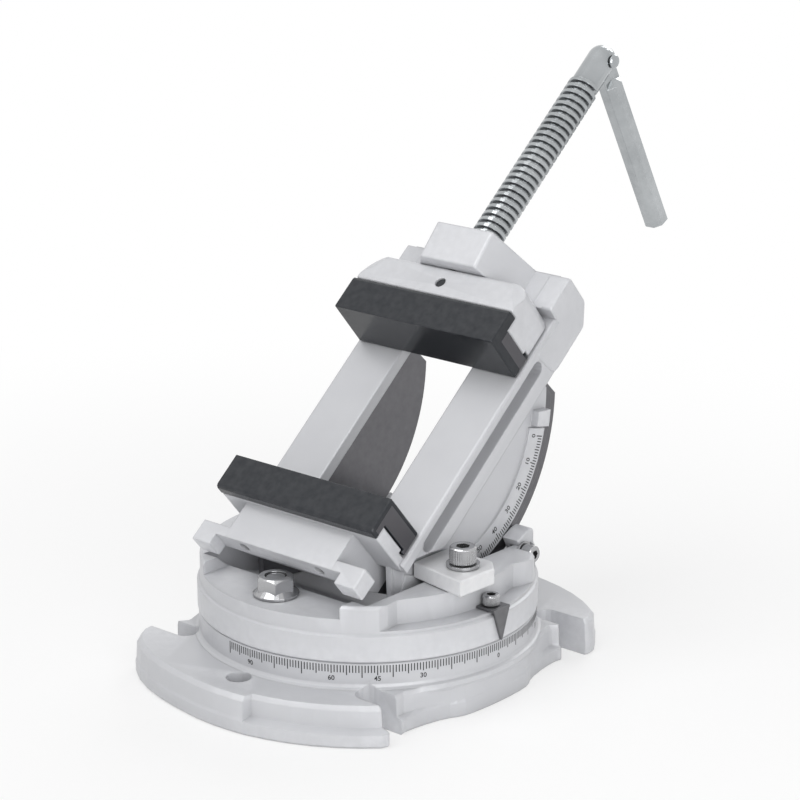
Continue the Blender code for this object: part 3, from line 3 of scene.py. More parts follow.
import logging
import math
from dataclasses import dataclass, field
from enum import Enum

import bmesh
import bpy
from mathutils import Matrix, Vector

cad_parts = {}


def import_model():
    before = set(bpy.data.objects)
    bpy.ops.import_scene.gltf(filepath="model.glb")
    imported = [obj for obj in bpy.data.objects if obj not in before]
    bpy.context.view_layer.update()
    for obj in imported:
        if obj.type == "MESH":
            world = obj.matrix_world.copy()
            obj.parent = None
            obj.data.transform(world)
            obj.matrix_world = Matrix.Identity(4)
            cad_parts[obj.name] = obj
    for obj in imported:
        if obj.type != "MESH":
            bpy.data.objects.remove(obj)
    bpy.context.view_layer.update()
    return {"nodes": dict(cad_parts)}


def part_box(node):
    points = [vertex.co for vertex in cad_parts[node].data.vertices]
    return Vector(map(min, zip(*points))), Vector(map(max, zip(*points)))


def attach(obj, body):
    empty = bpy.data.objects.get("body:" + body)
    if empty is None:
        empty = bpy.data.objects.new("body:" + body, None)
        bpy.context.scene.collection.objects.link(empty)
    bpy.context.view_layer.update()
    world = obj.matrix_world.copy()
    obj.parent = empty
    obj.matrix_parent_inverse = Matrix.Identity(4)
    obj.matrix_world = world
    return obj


LOG = logging.getLogger("machine_vise")
TILT_AXIS_HEIGHT = 0.12645
TILT_AT_REST = math.radians(40.0)
MARK_PROUD = 0.00006
GROUND_STRETCH = 0.06
# Share of the shade colour left deep in crevices: painted shade in corners, thread roots and sockets.
PAINTED_CREVICE_SHADE = 0.22


class Grain(Enum):
    """How a surface was made, which sets its texture."""

    CAST = "cast"
    GROUND = "ground"
    PLATED = "plated"
    FLAT = "flat"


@dataclass(frozen=True)
class Finish:
    """One finish of the vise, with its colours, gloss and texture."""

    name: str
    colour: tuple[float, float, float]
    shade: tuple[float, float, float]
    roughness: float
    roughness_spread: float
    metallic: float
    grain: Grain
    grain_scale: float = 900.0
    bump: float = 0.15
    bump_depth: float = 0.00006
    # Strength of the painted highlight that lightens sharp edges.
    wear: float = 0.0
    soft_edge: float = 0.0
    # Strength of the painted shade that darkens crevices, and its reach.
    crevice: float = 0.0
    crevice_reach: float = 0.006
    specular: float = 0.5
    # Gain, lift and limit of the painted edge highlight's colour.
    worn_gain: float = 1.3
    worn_lift: float = 0.08
    worn_limit: float = 0.95

    @property
    def worn(self) -> tuple[float, ...]:
        """Painted highlight: brighter colour put on sharp edges where light catches them."""
        return tuple(min(self.worn_limit, value * self.worn_gain + self.worn_lift) for value in self.colour)


CAST_SILVER = Finish("cast silver paint", (0.565, 0.571, 0.592), (0.520, 0.526, 0.549), 0.38, 0.10, 0.12,
                     Grain.CAST, wear=0.80, bump=0.22, soft_edge=0.0010, crevice=0.40, crevice_reach=0.009)
# Dark machined steel of the quadrants' rims, also put on their inner faces as painted shade.
RIM_STEEL_AND_SHADE = Finish("machined rim steel", (0.175, 0.173, 0.182), (0.120, 0.119, 0.128), 0.30, 0.14, 0.85,
                        Grain.GROUND)
GROUND_WAY = Finish("ground way steel", (0.520, 0.523, 0.535), (0.380, 0.383, 0.396), 0.28, 0.12, 0.55,
                    Grain.GROUND)
PLATE_CORE = Finish("plate end steel", (0.088, 0.086, 0.094), (0.070, 0.069, 0.076), 0.36, 0.10, 0.60,
                    Grain.GROUND)
GROUND_FACE = Finish("ground clamp steel", (0.700, 0.705, 0.722), (0.640, 0.645, 0.662), 0.36, 0.12, 0.25,
                     Grain.CAST, grain_scale=500.0, bump=0.12, wear=0.45, soft_edge=0.0006, crevice=0.25)
BLACK_STEEL = Finish("black ground steel", (0.010, 0.012, 0.016), (0.013, 0.016, 0.021), 0.24, 0.08, 0.20,
                     Grain.GROUND, grain_scale=700.0, bump=0.05, wear=0.75, soft_edge=0.0004, specular=0.28)
BRIGHT_ZINC = Finish("bright zinc plate", (0.500, 0.520, 0.532), (0.250, 0.265, 0.275), 0.14, 0.10, 0.92,
                     Grain.PLATED, grain_scale=420.0, bump=0.10, wear=0.45, soft_edge=0.0003, crevice=0.90,
                     crevice_reach=0.0034)
SCREW_STEEL = Finish("turned screw steel", (0.500, 0.503, 0.513), (0.300, 0.302, 0.310), 0.17, 0.10, 0.88,
                     Grain.GROUND, grain_scale=900.0, bump=0.14, wear=0.30, soft_edge=0.0003, crevice=0.85,
                     crevice_reach=0.0050)
DARK_PLATE = Finish("dark satin plate", (0.150, 0.150, 0.158), (0.105, 0.105, 0.112), 0.34, 0.12, 0.85,
                    Grain.GROUND, grain_scale=800.0, bump=0.10, wear=0.60, soft_edge=0.0003)
SCALE_INK = Finish("engraved black ink", (0.020, 0.020, 0.022), (0.032, 0.032, 0.034), 0.55, 0.10, 0.0,
                   Grain.FLAT)
FLOOR_PAPER = Finish("studio paper", (0.900, 0.900, 0.900), (0.880, 0.880, 0.880), 0.70, 0.05, 0.0, Grain.FLAT)


def math_node(tree: bpy.types.NodeTree, operation: str, *values: bpy.types.NodeSocket | float
              ) -> bpy.types.NodeSocket:
    """Add one math node.

    Args:
        tree: The tree to add it to.
        operation: The math node's operation.
        values: Its inputs, each a socket or a number.

    Returns:
        The node's output socket.
    """
    node = tree.nodes.new("ShaderNodeMath")
    node.operation = operation
    for place, value in enumerate(values):
        if isinstance(value, bpy.types.NodeSocket):
            tree.links.new(value, node.inputs[place])
        else:
            node.inputs[place].default_value = value
    return node.outputs["Value"]


def product(tree: bpy.types.NodeTree, *values: bpy.types.NodeSocket | float) -> bpy.types.NodeSocket:
    """Multiply two or more values and return the last product's socket."""
    total = values[0]
    for value in values[1:]:
        total = math_node(tree, "MULTIPLY", total, value)
    return total


class ShaderTools:
    """Shader node groups that several finishes share, each built once."""

    def __init__(self) -> None:
        """Build the shared groups."""
        self.grain = self._build_grain()
        self.wear = self._build_wear()
        self.crevice = self._build_crevice()
        self.zones = self._build_zones()
        self.knurl = self._build_knurl()
        self.plate_ends = self._build_plate_ends()

    @staticmethod
    def _group(name: str, inputs: dict[str, float], outputs: tuple[str, ...]) -> bpy.types.NodeTree:
        """Make an empty shader group with named sockets.

        Args:
            name: The group's name.
            inputs: Names and default values of its number inputs.
            outputs: Names of its number outputs.

        Returns:
            The new node tree, with its input and output nodes in place.
        """
        tree = bpy.data.node_groups.new(name, "ShaderNodeTree")
        for label, value in inputs.items():
            socket = tree.interface.new_socket(label, in_out="INPUT", socket_type="NodeSocketFloat")
            socket.default_value = value
        for label in outputs:
            tree.interface.new_socket(label, in_out="OUTPUT", socket_type="NodeSocketFloat")
        tree.nodes.new("NodeGroupInput").name = "in"
        tree.nodes.new("NodeGroupOutput").name = "out"
        return tree

    def _build_grain(self) -> bpy.types.NodeTree:
        """Build the surface grain: a fine noise, stretched for ground faces, and a broad one.

        Returns:
            A group that puts out a height and a slow variation.
        """
        tree = self._group("surface grain", {"Scale": 900.0, "Stretch": 1.0}, ("Height", "Variation"))
        nodes, links = tree.nodes, tree.links
        place = nodes.new("ShaderNodeTexCoord")
        stretch = nodes.new("ShaderNodeCombineXYZ")
        stretch.inputs["Y"].default_value = 1.0
        stretch.inputs["Z"].default_value = 1.0
        links.new(nodes["in"].outputs["Stretch"], stretch.inputs["X"])
        scaled = nodes.new("ShaderNodeVectorMath")
        scaled.operation = "MULTIPLY"
        links.new(place.outputs["Object"], scaled.inputs[0])
        links.new(stretch.outputs["Vector"], scaled.inputs[1])
        fine = nodes.new("ShaderNodeTexNoise")
        fine.inputs["Detail"].default_value = 3.0
        fine.inputs["Roughness"].default_value = 0.6
        links.new(scaled.outputs["Vector"], fine.inputs["Vector"])
        links.new(nodes["in"].outputs["Scale"], fine.inputs["Scale"])
        broad = nodes.new("ShaderNodeTexNoise")
        broad.inputs["Scale"].default_value = 55.0
        broad.inputs["Detail"].default_value = 4.0
        links.new(place.outputs["Object"], broad.inputs["Vector"])
        links.new(fine.outputs["Fac"], nodes["out"].inputs["Height"])
        links.new(broad.outputs["Fac"], nodes["out"].inputs["Variation"])
        return tree

    def _build_wear(self) -> bpy.types.NodeTree:
        """Build the painted edge highlight: a mask that lightens sharp outer edges, broken up by a noise.

        Returns:
            A group that puts out a mask from 0 to its Amount.
        """
        tree = self._group("painted edge highlight", {"Amount": 0.3}, ("Mask",))
        nodes, links = tree.nodes, tree.links
        geometry = nodes.new("ShaderNodeNewGeometry")
        ramp = nodes.new("ShaderNodeMapRange")
        ramp.inputs["From Min"].default_value = 0.52
        ramp.inputs["From Max"].default_value = 0.62
        links.new(geometry.outputs["Pointiness"], ramp.inputs["Value"])
        place = nodes.new("ShaderNodeTexCoord")
        noise = nodes.new("ShaderNodeTexNoise")
        noise.inputs["Scale"].default_value = 260.0
        noise.inputs["Detail"].default_value = 4.0
        links.new(place.outputs["Object"], noise.inputs["Vector"])
        mask = product(tree, ramp.outputs["Result"], noise.outputs["Fac"], nodes["in"].outputs["Amount"])
        links.new(mask, nodes["out"].inputs["Mask"])
        return tree

    def _build_crevice(self) -> bpy.types.NodeTree:
        """Build the painted crevice shade: a mask that darkens inner corners, thread roots and sockets, where
        shade falls.

        Returns:
            A group that puts out a mask, from 0 in the open to its Amount deep in a crevice.
        """
        tree = self._group("painted crevice shade", {"Amount": 0.3, "Reach": 0.006, "Falloff": 1.3}, ("Mask",))
        closed = tree.nodes.new("ShaderNodeAmbientOcclusion")
        closed.samples = 6
        tree.links.new(tree.nodes["in"].outputs["Reach"], closed.inputs["Distance"])
        depth = math_node(tree, "SUBTRACT", 1.0, closed.outputs["AO"])
        deep = math_node(tree, "POWER", depth, tree.nodes["in"].outputs["Falloff"])
        mask = product(tree, deep, tree.nodes["in"].outputs["Amount"])
        tree.links.new(mask, tree.nodes["out"].inputs["Mask"])
        return tree

    @staticmethod
    def _ways_frame(tree: bpy.types.NodeTree, across: bpy.types.NodeSocket, up: bpy.types.NodeSocket
                    ) -> tuple[bpy.types.NodeSocket, bpy.types.NodeSocket]:
        """Turn two coordinates of the rest pose into the frame of the tilted ways.

        Args:
            tree: A group's tree, with a Tilt input.
            across: The coordinate along the swivel table.
            up: The coordinate above the tilt axis.

        Returns:
            The coordinate along the ways and the one at a right angle to them.
        """
        sine, cosine = (math_node(tree, name, tree.nodes["in"].outputs["Tilt"]) for name in ("SINE", "COSINE"))
        along = math_node(tree, "ADD", product(tree, across, cosine), product(tree, up, sine))
        rise = math_node(tree, "SUBTRACT", product(tree, up, cosine), product(tree, across, sine))
        return along, rise

    def _build_zones(self) -> bpy.types.NodeTree:
        """Build the masks of the body's machined zones: the quadrants' rims, with painted shade in the same dark
        steel on their inner faces, and the ground ways of the jaw.

        Returns:
            A group that puts out one mask for the rims with the shaded inner faces and one for the ways.
        """
        tree = self._group("machined zones and painted shade", {
            "Axis height": TILT_AXIS_HEIGHT, "Tilt": TILT_AT_REST, "Rim radius": 0.0817, "Rim face": 0.0452,
            "Painted shade face": 0.0403, "Inmost": 0.0302, "Rim top": -0.0375, "Way height": -0.0235, "Way depth": 0.0012,
            "Way level": 0.97}, ("Rim", "Way"))
        given = tree.nodes["in"].outputs
        place = tree.nodes.new("ShaderNodeTexCoord")
        split = tree.nodes.new("ShaderNodeSeparateXYZ")
        tree.links.new(place.outputs["Object"], split.inputs["Vector"])
        across, up = split.outputs["Y"], math_node(tree, "SUBTRACT", split.outputs["Z"], given["Axis height"])
        side = math_node(tree, "ABSOLUTE", split.outputs["X"])
        square = math_node(tree, "ADD", product(tree, across, across), product(tree, up, up))
        radius = math_node(tree, "SQRT", square)
        _, rise = self._ways_frame(tree, across, up)
        # Outer rim band of machined steel, plus the quadrants' inner faces, which get the dark steel as painted
        # shade.
        bare = math_node(tree, "MAXIMUM", math_node(tree, "GREATER_THAN", radius, given["Rim radius"]),
                         math_node(tree, "LESS_THAN", side, given["Painted shade face"]))
        rim = product(tree, bare, math_node(tree, "LESS_THAN", rise, given["Rim top"]),
                      math_node(tree, "LESS_THAN", side, given["Rim face"]),
                      math_node(tree, "GREATER_THAN", side, given["Inmost"]))
        tree.links.new(rim, tree.nodes["out"].inputs["Rim"])
        facing = tree.nodes.new("ShaderNodeNewGeometry")
        tilted = tree.nodes.new("ShaderNodeVectorTransform")
        tilted.vector_type = "NORMAL"
        tilted.convert_from = "WORLD"
        tilted.convert_to = "OBJECT"
        tree.links.new(facing.outputs["Normal"], tilted.inputs["Vector"])
        turned = tree.nodes.new("ShaderNodeSeparateXYZ")
        tree.links.new(tilted.outputs["Vector"], turned.inputs["Vector"])
        _, level = self._ways_frame(tree, turned.outputs["Y"], turned.outputs["Z"])
        offset = math_node(tree, "ABSOLUTE", math_node(tree, "SUBTRACT", rise, given["Way height"]))
        way = product(tree, math_node(tree, "GREATER_THAN", level, given["Way level"]),
                      math_node(tree, "LESS_THAN", offset, given["Way depth"]))
        tree.links.new(way, tree.nodes["out"].inputs["Way"])
        return tree

    def _build_knurl(self) -> bpy.types.NodeTree:
        """Build the straight knurl of a cap screw's head, as ridges round an upright axis.

        Returns:
            A group that puts out the ridges' height.
        """
        tree = self._group("straight knurl",
                           {"Centre X": 0.0, "Centre Y": 0.0, "Ridges": 36.0, "From": 0.0, "To": 1.0}, ("Height",))
        given = tree.nodes["in"].outputs
        place = tree.nodes.new("ShaderNodeTexCoord")
        split = tree.nodes.new("ShaderNodeSeparateXYZ")
        tree.links.new(place.outputs["Object"], split.inputs["Vector"])
        angle = math_node(tree, "ARCTAN2", math_node(tree, "SUBTRACT", split.outputs["Y"], given["Centre Y"]),
                          math_node(tree, "SUBTRACT", split.outputs["X"], given["Centre X"]))
        wave = math_node(tree, "SINE", product(tree, angle, given["Ridges"]))
        height = product(tree, wave, math_node(tree, "GREATER_THAN", split.outputs["Z"], given["From"]),
                         math_node(tree, "LESS_THAN", split.outputs["Z"], given["To"]))
        tree.links.new(height, tree.nodes["out"].inputs["Height"])
        return tree

    def _build_plate_ends(self) -> bpy.types.NodeTree:
        """Build the mask of the bare steel inside the black skin on a jaw plate's two ends.

        Returns:
            A group that puts out the mask.
        """
        tree = self._group("plate ends", {"Axis height": TILT_AXIS_HEIGHT, "Tilt": TILT_AT_REST, "End": 0.0497,
                                          "From": 0.0, "To": 1.0, "Top": 0.0}, ("Mask",))
        given = tree.nodes["in"].outputs
        place = tree.nodes.new("ShaderNodeTexCoord")
        split = tree.nodes.new("ShaderNodeSeparateXYZ")
        tree.links.new(place.outputs["Object"], split.inputs["Vector"])
        up = math_node(tree, "SUBTRACT", split.outputs["Z"], given["Axis height"])
        along, rise = self._ways_frame(tree, split.outputs["Y"], up)
        side = math_node(tree, "ABSOLUTE", split.outputs["X"])
        mask = product(tree, math_node(tree, "GREATER_THAN", side, given["End"]),
                       math_node(tree, "GREATER_THAN", along, given["From"]),
                       math_node(tree, "LESS_THAN", along, given["To"]),
                       math_node(tree, "LESS_THAN", rise, given["Top"]))
        tree.links.new(mask, tree.nodes["out"].inputs["Mask"])
        return tree


@dataclass(frozen=True)
class Knurl:
    """Straight knurl round one upright cap screw."""

    centre: tuple[float, float]
    low: float
    high: float
    ridges: int = 40
    depth: float = 0.00012


@dataclass(frozen=True)
class PlateEnds:
    """Where bare steel shows on a jaw plate's ends, along and above the ways."""

    label: str
    start: float
    stop: float
    top: float


class Finisher:
    """Makes each finish's material once and gives it to pieces."""

    def __init__(self, tools: ShaderTools) -> None:
        """Keep the shared shader groups."""
        self.tools = tools
        self.made: dict[str, bpy.types.Material] = {}

    @staticmethod
    def _mix(tree: bpy.types.NodeTree, factor: bpy.types.NodeSocket,
             low: bpy.types.NodeSocket | tuple[float, ...], high: bpy.types.NodeSocket | tuple[float, ...]
             ) -> bpy.types.NodeSocket:
        """Mix two colours.

        Args:
            tree: The material's tree.
            factor: Share of the second colour.
            low: First colour, a socket or a value.
            high: Second colour, a socket or a value.

        Returns:
            The mixed colour's socket.
        """
        node = tree.nodes.new("ShaderNodeMix")
        node.data_type = "RGBA"
        tree.links.new(factor, node.inputs["Factor"])
        for label, value in (("A", low), ("B", high)):
            socket = next(item for item in node.inputs if item.name == label and item.type == "RGBA")
            if isinstance(value, bpy.types.NodeSocket):
                tree.links.new(value, socket)
            else:
                socket.default_value = (*value, 1.0)
        return next(item for item in node.outputs if item.type == "RGBA")

    @staticmethod
    def _blend_number(tree: bpy.types.NodeTree, factor: bpy.types.NodeSocket,
                      low: bpy.types.NodeSocket | float, high: float) -> bpy.types.NodeSocket:
        """Mix two numbers by a mask and return the result's socket."""
        node = tree.nodes.new("ShaderNodeMix")
        node.data_type = "FLOAT"
        tree.links.new(factor, node.inputs["Factor"])
        for label, value in (("A", low), ("B", high)):
            socket = next(item for item in node.inputs if item.name == label and item.type == "VALUE")
            if isinstance(value, bpy.types.NodeSocket):
                tree.links.new(value, socket)
            else:
                socket.default_value = value
        return next(item for item in node.outputs if item.type == "VALUE")

    @staticmethod
    def _use(tree: bpy.types.NodeTree, group: bpy.types.NodeTree, **values: float) -> bpy.types.ShaderNode:
        """Put a shared group into a material.

        Args:
            tree: The material's tree.
            group: The shared group.
            values: Its inputs by name, with underscores in place of spaces.

        Returns:
            The group's node.
        """
        node = tree.nodes.new("ShaderNodeGroup")
        node.node_tree = group
        for label, value in values.items():
            node.inputs[label.replace("_", " ")].default_value = value
        return node

    def material(self, finish: Finish, machined: bool = False, knurl: Knurl | None = None,
                 ends: PlateEnds | None = None) -> bpy.types.Material:
        """Make the material of a finish, or return the one already made.

        Args:
            finish: The finish to make.
            machined: Whether the body's machined rims and ways show through the paint, with painted shade on the
                quadrants' inner faces.
            knurl: The knurl of a cap screw's head, if it has one.
            ends: Where bare steel shows on a jaw plate's ends, if it is one.

        Returns:
            Its material, with the Principled shader in the material itself.
        """
        name = finish.name + (" with machined faces" if machined else "")
        if knurl:
            name = f"{finish.name} knurled at {knurl.centre[0] * 1000.0:+.0f}"
        if ends:
            name = f"{finish.name} of the {ends.label} plate"
        if name in self.made:
            return self.made[name]
        material = bpy.data.materials.new(name)
        material.use_nodes = True
        tree = material.node_tree
        nodes, links = tree.nodes, tree.links
        shader = nodes["Principled BSDF"]
        shader.inputs["Metallic"].default_value = finish.metallic
        stretch = GROUND_STRETCH if finish.grain is Grain.GROUND else 1.0
        grain = self._use(tree, self.tools.grain, Scale=finish.grain_scale, Stretch=stretch)
        colour = self._mix(tree, grain.outputs["Variation"], finish.shade, finish.colour)
        # Painted shade: the colour darkens towards a near-black deep in crevices.
        if finish.crevice:
            crevice = self._use(tree, self.tools.crevice, Amount=finish.crevice, Reach=finish.crevice_reach)
            dark = tuple(value * PAINTED_CREVICE_SHADE for value in finish.shade)
            colour = self._mix(tree, crevice.outputs["Mask"], colour, dark)
        # Painted highlight: sharp edges turn brighter.
        if finish.wear:
            wear = self._use(tree, self.tools.wear, Amount=finish.wear)
            colour = self._mix(tree, wear.outputs["Mask"], colour, finish.worn)
        rough = nodes.new("ShaderNodeMapRange")
        rough.inputs["To Min"].default_value = finish.roughness - finish.roughness_spread / 2.0
        rough.inputs["To Max"].default_value = finish.roughness + finish.roughness_spread / 2.0
        links.new(grain.outputs["Variation"], rough.inputs["Value"])
        gloss = rough.outputs["Result"]
        # Machined rims and ways, with painted shade on the quadrants' inner faces.
        if machined:
            colour, gloss = self._machined_faces(tree, shader, finish, colour, gloss)
        if ends:
            bare = self._use(tree, self.tools.plate_ends, From=ends.start, To=ends.stop, Top=ends.top)
            core = self._mix(tree, grain.outputs["Variation"], PLATE_CORE.shade, PLATE_CORE.colour)
            colour = self._mix(tree, bare.outputs["Mask"], colour, core)
            gloss = self._blend_number(tree, bare.outputs["Mask"], gloss, PLATE_CORE.roughness)
        shader.inputs["Specular IOR Level"].default_value = finish.specular
        links.new(colour, shader.inputs["Base Color"])
        links.new(gloss, shader.inputs["Roughness"])
        self._relief(tree, shader, finish, grain, knurl)
        self.made[name] = material
        return material

    def _machined_faces(self, tree: bpy.types.NodeTree, shader: bpy.types.ShaderNode, finish: Finish,
                        colour: bpy.types.NodeSocket, gloss: bpy.types.NodeSocket
                        ) -> tuple[bpy.types.NodeSocket, bpy.types.NodeSocket]:
        """Show bare machined steel on the body's rims and ways, and the rim steel again as painted shade on the
        quadrants' inner faces.

        Args:
            tree: The material's tree.
            shader: Its Principled shader.
            finish: The paint's finish.
            colour: The paint's colour.
            gloss: The paint's roughness.

        Returns:
            The colour and roughness sockets with the bare faces in them.
        """
        zones = self._use(tree, self.tools.zones)
        streak = self._use(tree, self.tools.grain, Scale=260.0, Stretch=4.0)
        metal = self._blend_number(tree, zones.outputs["Rim"], finish.metallic, RIM_STEEL_AND_SHADE.metallic)
        metal = self._blend_number(tree, zones.outputs["Way"], metal, GROUND_WAY.metallic)
        tree.links.new(metal, shader.inputs["Metallic"])
        for label, bare in (("Rim", RIM_STEEL_AND_SHADE), ("Way", GROUND_WAY)):
            turned = self._mix(tree, streak.outputs["Height"], bare.shade, bare.colour)
            colour = self._mix(tree, zones.outputs[label], colour, turned)
            gloss = self._blend_number(tree, zones.outputs[label], gloss, bare.roughness)
        return colour, gloss

    def _relief(self, tree: bpy.types.NodeTree, shader: bpy.types.ShaderNode, finish: Finish,
                grain: bpy.types.ShaderNode, knurl: Knurl | None) -> None:
        """Join the softened edges, the grain and a knurl into the shader's normal.

        Args:
            tree: The material's tree.
            shader: Its Principled shader.
            finish: The finish.
            grain: The surface grain's node.
            knurl: The knurl of a cap screw's head, if it has one.
        """
        normal = None
        if finish.soft_edge:
            soft = tree.nodes.new("ShaderNodeBevel")
            soft.samples = 4
            soft.inputs["Radius"].default_value = finish.soft_edge
            normal = soft.outputs["Normal"]
        if knurl:
            ridges = self._use(tree, self.tools.knurl, Centre_X=knurl.centre[0], Centre_Y=knurl.centre[1],
                               From=knurl.low, To=knurl.high, Ridges=float(knurl.ridges))
            normal = self._bump(tree, ridges.outputs["Height"], 1.0, knurl.depth, normal)
        if finish.grain is not Grain.FLAT:
            normal = self._bump(tree, grain.outputs["Height"], finish.bump, finish.bump_depth, normal)
        if normal:
            tree.links.new(normal, shader.inputs["Normal"])

    @staticmethod
    def _bump(tree: bpy.types.NodeTree, height: bpy.types.NodeSocket, strength: float, distance: float,
              normal: bpy.types.NodeSocket | None) -> bpy.types.NodeSocket:
        """Add one bump on top of a normal.

        Args:
            tree: The material's tree.
            height: The relief's height.
            strength: Its strength.
            distance: Its depth.
            normal: The normal below it, if there is one.

        Returns:
            The new normal's socket.
        """
        bump = tree.nodes.new("ShaderNodeBump")
        bump.inputs["Strength"].default_value = strength
        bump.inputs["Distance"].default_value = distance
        tree.links.new(height, bump.inputs["Height"])
        if normal:
            tree.links.new(normal, bump.inputs["Normal"])
        return bump.outputs["Normal"]

    def dress(self, item: bpy.types.Object, finish: Finish, machined: bool = False,
              knurl: Knurl | None = None, ends: PlateEnds | None = None) -> None:
        """Give an object one finish on all its faces.

        Args:
            item: The object.
            finish: Its finish.
            machined: Whether the body's machined faces show, with painted shade on the quadrants' inner faces.
            knurl: The knurl of a cap screw's head, if it has one.
            ends: Where bare steel shows on a jaw plate's ends, if it is one.
        """
        material = self.material(finish, machined, knurl, ends)
        if not item.material_slots:
            item.data.materials.append(material)
        for slot in item.material_slots:
            slot.material = material


@dataclass
class KeptCastings:
    """Carried-over solids and the finish that each of them gets."""

    nodes: dict[str, bpy.types.Object]
    finisher: Finisher
    cast: tuple[str, ...] = ("base_plate", "swivel_table", "vise_body", "moving_jaw")
    ground: tuple[str, ...] = ("clamp_strap_left", "clamp_strap_right", "retaining_plate")
    black: tuple[str, ...] = ("fixed_jaw_plate", "moving_jaw_plate", "jaw_set_screw")
    dark: tuple[str, ...] = ("swivel_pointer",)
    turned: tuple[str, ...] = (
        "strap_screw_left", "strap_screw_right", "strap_washer_left", "strap_washer_right", "flange_nut_front",
        "flange_nut_rear", "swivel_pointer_screw", "tilt_lock_screw", "tilt_lock_washer", "retaining_screw_left",
        "retaining_screw_right", "t_bolt_front", "t_bolt_rear")
    knurled: tuple[str, ...] = ("strap_screw_left", "strap_screw_right", "swivel_pointer_screw")
    knurl_top_margin: float = 0.0012
    knurl_share: float = 0.6
    plate_ends: tuple[tuple[str, PlateEnds], ...] = (
        ("fixed_jaw_plate", PlateEnds("fixed", -0.0608, -0.0462, 0.0048)),
        ("moving_jaw_plate", PlateEnds("moving", 0.0528, 0.0590, 0.0010)),
    )

    def finish_of(self, name: str) -> Finish:
        """Finish of one solid by its name."""
        for group, finish in ((self.cast, CAST_SILVER), (self.ground, GROUND_FACE), (self.black, BLACK_STEEL),
                              (self.dark, DARK_PLATE), (self.turned, SCREW_STEEL)):
            if name in group:
                return finish
        return BRIGHT_ZINC

    def build(self) -> None:
        """Dress every carried-over solid."""
        for name, item in self.nodes.items():
            knurl = self.knurl_of(name) if name in self.knurled else None
            self.finisher.dress(item, self.finish_of(name), machined=name == "vise_body", knurl=knurl,
                                ends=dict(self.plate_ends).get(name))

    def knurl_of(self, name: str) -> Knurl:
        """Knurl that fits one upright cap screw.

        Args:
            name: The screw's node.

        Returns:
            Its knurl, over the lower part of the head.
        """
        low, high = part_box(name)
        top = high[2] - self.knurl_top_margin
        head = (high[0] - low[0]) * self.knurl_share
        return Knurl(centre=((low[0] + high[0]) / 2.0, (low[1] + high[1]) / 2.0), low=top - head, high=top)


@dataclass
class NumberMaker:
    """Turns numbers into flat outlines that can be laid on a surface."""

    height: float
    size_share: float = 1.42
    bold_share: float = 0.022

    def outlines(self, text: str) -> tuple[list[Vector], list[list[int]]]:
        """Flat mesh of a number, centred on the origin in X and Y.

        Args:
            text: The number to draw.

        Returns:
            Its points and its faces.
        """
        curve = bpy.data.curves.new("number", "FONT")
        curve.body = text
        curve.size = self.height * self.size_share
        curve.align_x = "CENTER"
        curve.resolution_u = 3
        curve.offset = self.height * self.bold_share
        holder = bpy.data.objects.new("number", curve)
        bpy.context.collection.objects.link(holder)
        bpy.context.view_layer.update()
        mesh = holder.to_mesh()
        points = [vertex.co.copy() for vertex in mesh.vertices]
        faces = [list(polygon.vertices) for polygon in mesh.polygons]
        holder.to_mesh_clear()
        bpy.data.objects.remove(holder)
        bpy.data.curves.remove(curve)
        middle = (min(point.y for point in points) + max(point.y for point in points)) / 2.0
        for point in points:
            point.y -= middle
        return points, faces


@dataclass
class ScaleBuilder:
    """Collects the strokes and numbers of one scale into one mesh piece."""

    name: str
    points: list[Vector] = field(default_factory=list)
    faces: list[list[int]] = field(default_factory=list)

    def add(self, points: list[Vector], faces: list[list[int]]) -> None:
        """Add a patch of points and faces."""
        start = len(self.points)
        self.points.extend(points)
        self.faces.extend([[start + index for index in face] for face in faces])

    def finish(self) -> bpy.types.Object:
        """Make the object from all that was added.

        Returns:
            The new object, linked to the scene.
        """
        mesh = bpy.data.meshes.new(self.name)
        mesh.from_pydata([tuple(point) for point in self.points], [], self.faces)
        mesh.update()
        item = bpy.data.objects.new(self.name, mesh)
        bpy.context.collection.objects.link(item)
        return item


@dataclass
class SwivelScale:
    """Graduated band round the base's drum: degree strokes and numbers, read at the pointer."""

    finisher: Finisher
    drum_radius: float = 0.0820
    top: float = 0.0299
    short: float = 0.0036
    middle: float = 0.0048
    long: float = 0.0060
    half_width: float = 0.00024
    number_height: float = 0.0023
    number_drop: float = 0.0064
    crowded_share: float = 1.15
    reach: int = 100
    labels: tuple[int, ...] = (0, 30, 45, 60, 90)

    def _place(self, angle: float, height: float) -> Vector:
        """World place of a point on the band from its plan angle and height."""
        radius = self.drum_radius + MARK_PROUD
        return Vector((radius * math.cos(angle), radius * math.sin(angle), height))

    def _stroke(self, builder: ScaleBuilder, angle: float, length: float) -> None:
        """Add one upright stroke of the band at a plan angle."""
        spread = self.half_width / (self.drum_radius + MARK_PROUD)
        points = [self._place(angle + side, height)
                  for side, height in ((-spread, self.top - length), (spread, self.top - length),
                                       (spread, self.top), (-spread, self.top))]
        builder.add(points, [[0, 1, 2, 3]])

    def build(self) -> bpy.types.Object:
        """Build the band's strokes and numbers.

        Returns:
            The scale piece.
        """
        builder = ScaleBuilder("swivel_scale_marks")
        numbers = NumberMaker(self.number_height)
        for degree in range(-self.reach, self.reach + 1):
            value = abs(degree)
            length = self.long if value % 10 == 0 else self.middle if value % 5 == 0 else self.short
            if value in self.labels:
                length = self.middle if value % 10 else self.short * self.crowded_share
            self._stroke(builder, math.radians(degree), length)
        radius = self.drum_radius + MARK_PROUD
        for label in self.labels:
            for sign in (-1, 1) if label else (1,):
                points, faces = numbers.outlines(str(label))
                laid = [self._place(math.radians(sign * label) + point.x / radius,
                                    self.top - self.number_drop + point.y) for point in points]
                builder.add(laid, faces)
        item = builder.finish()
        self.finisher.dress(item, SCALE_INK)
        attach(item, "base")
        return item


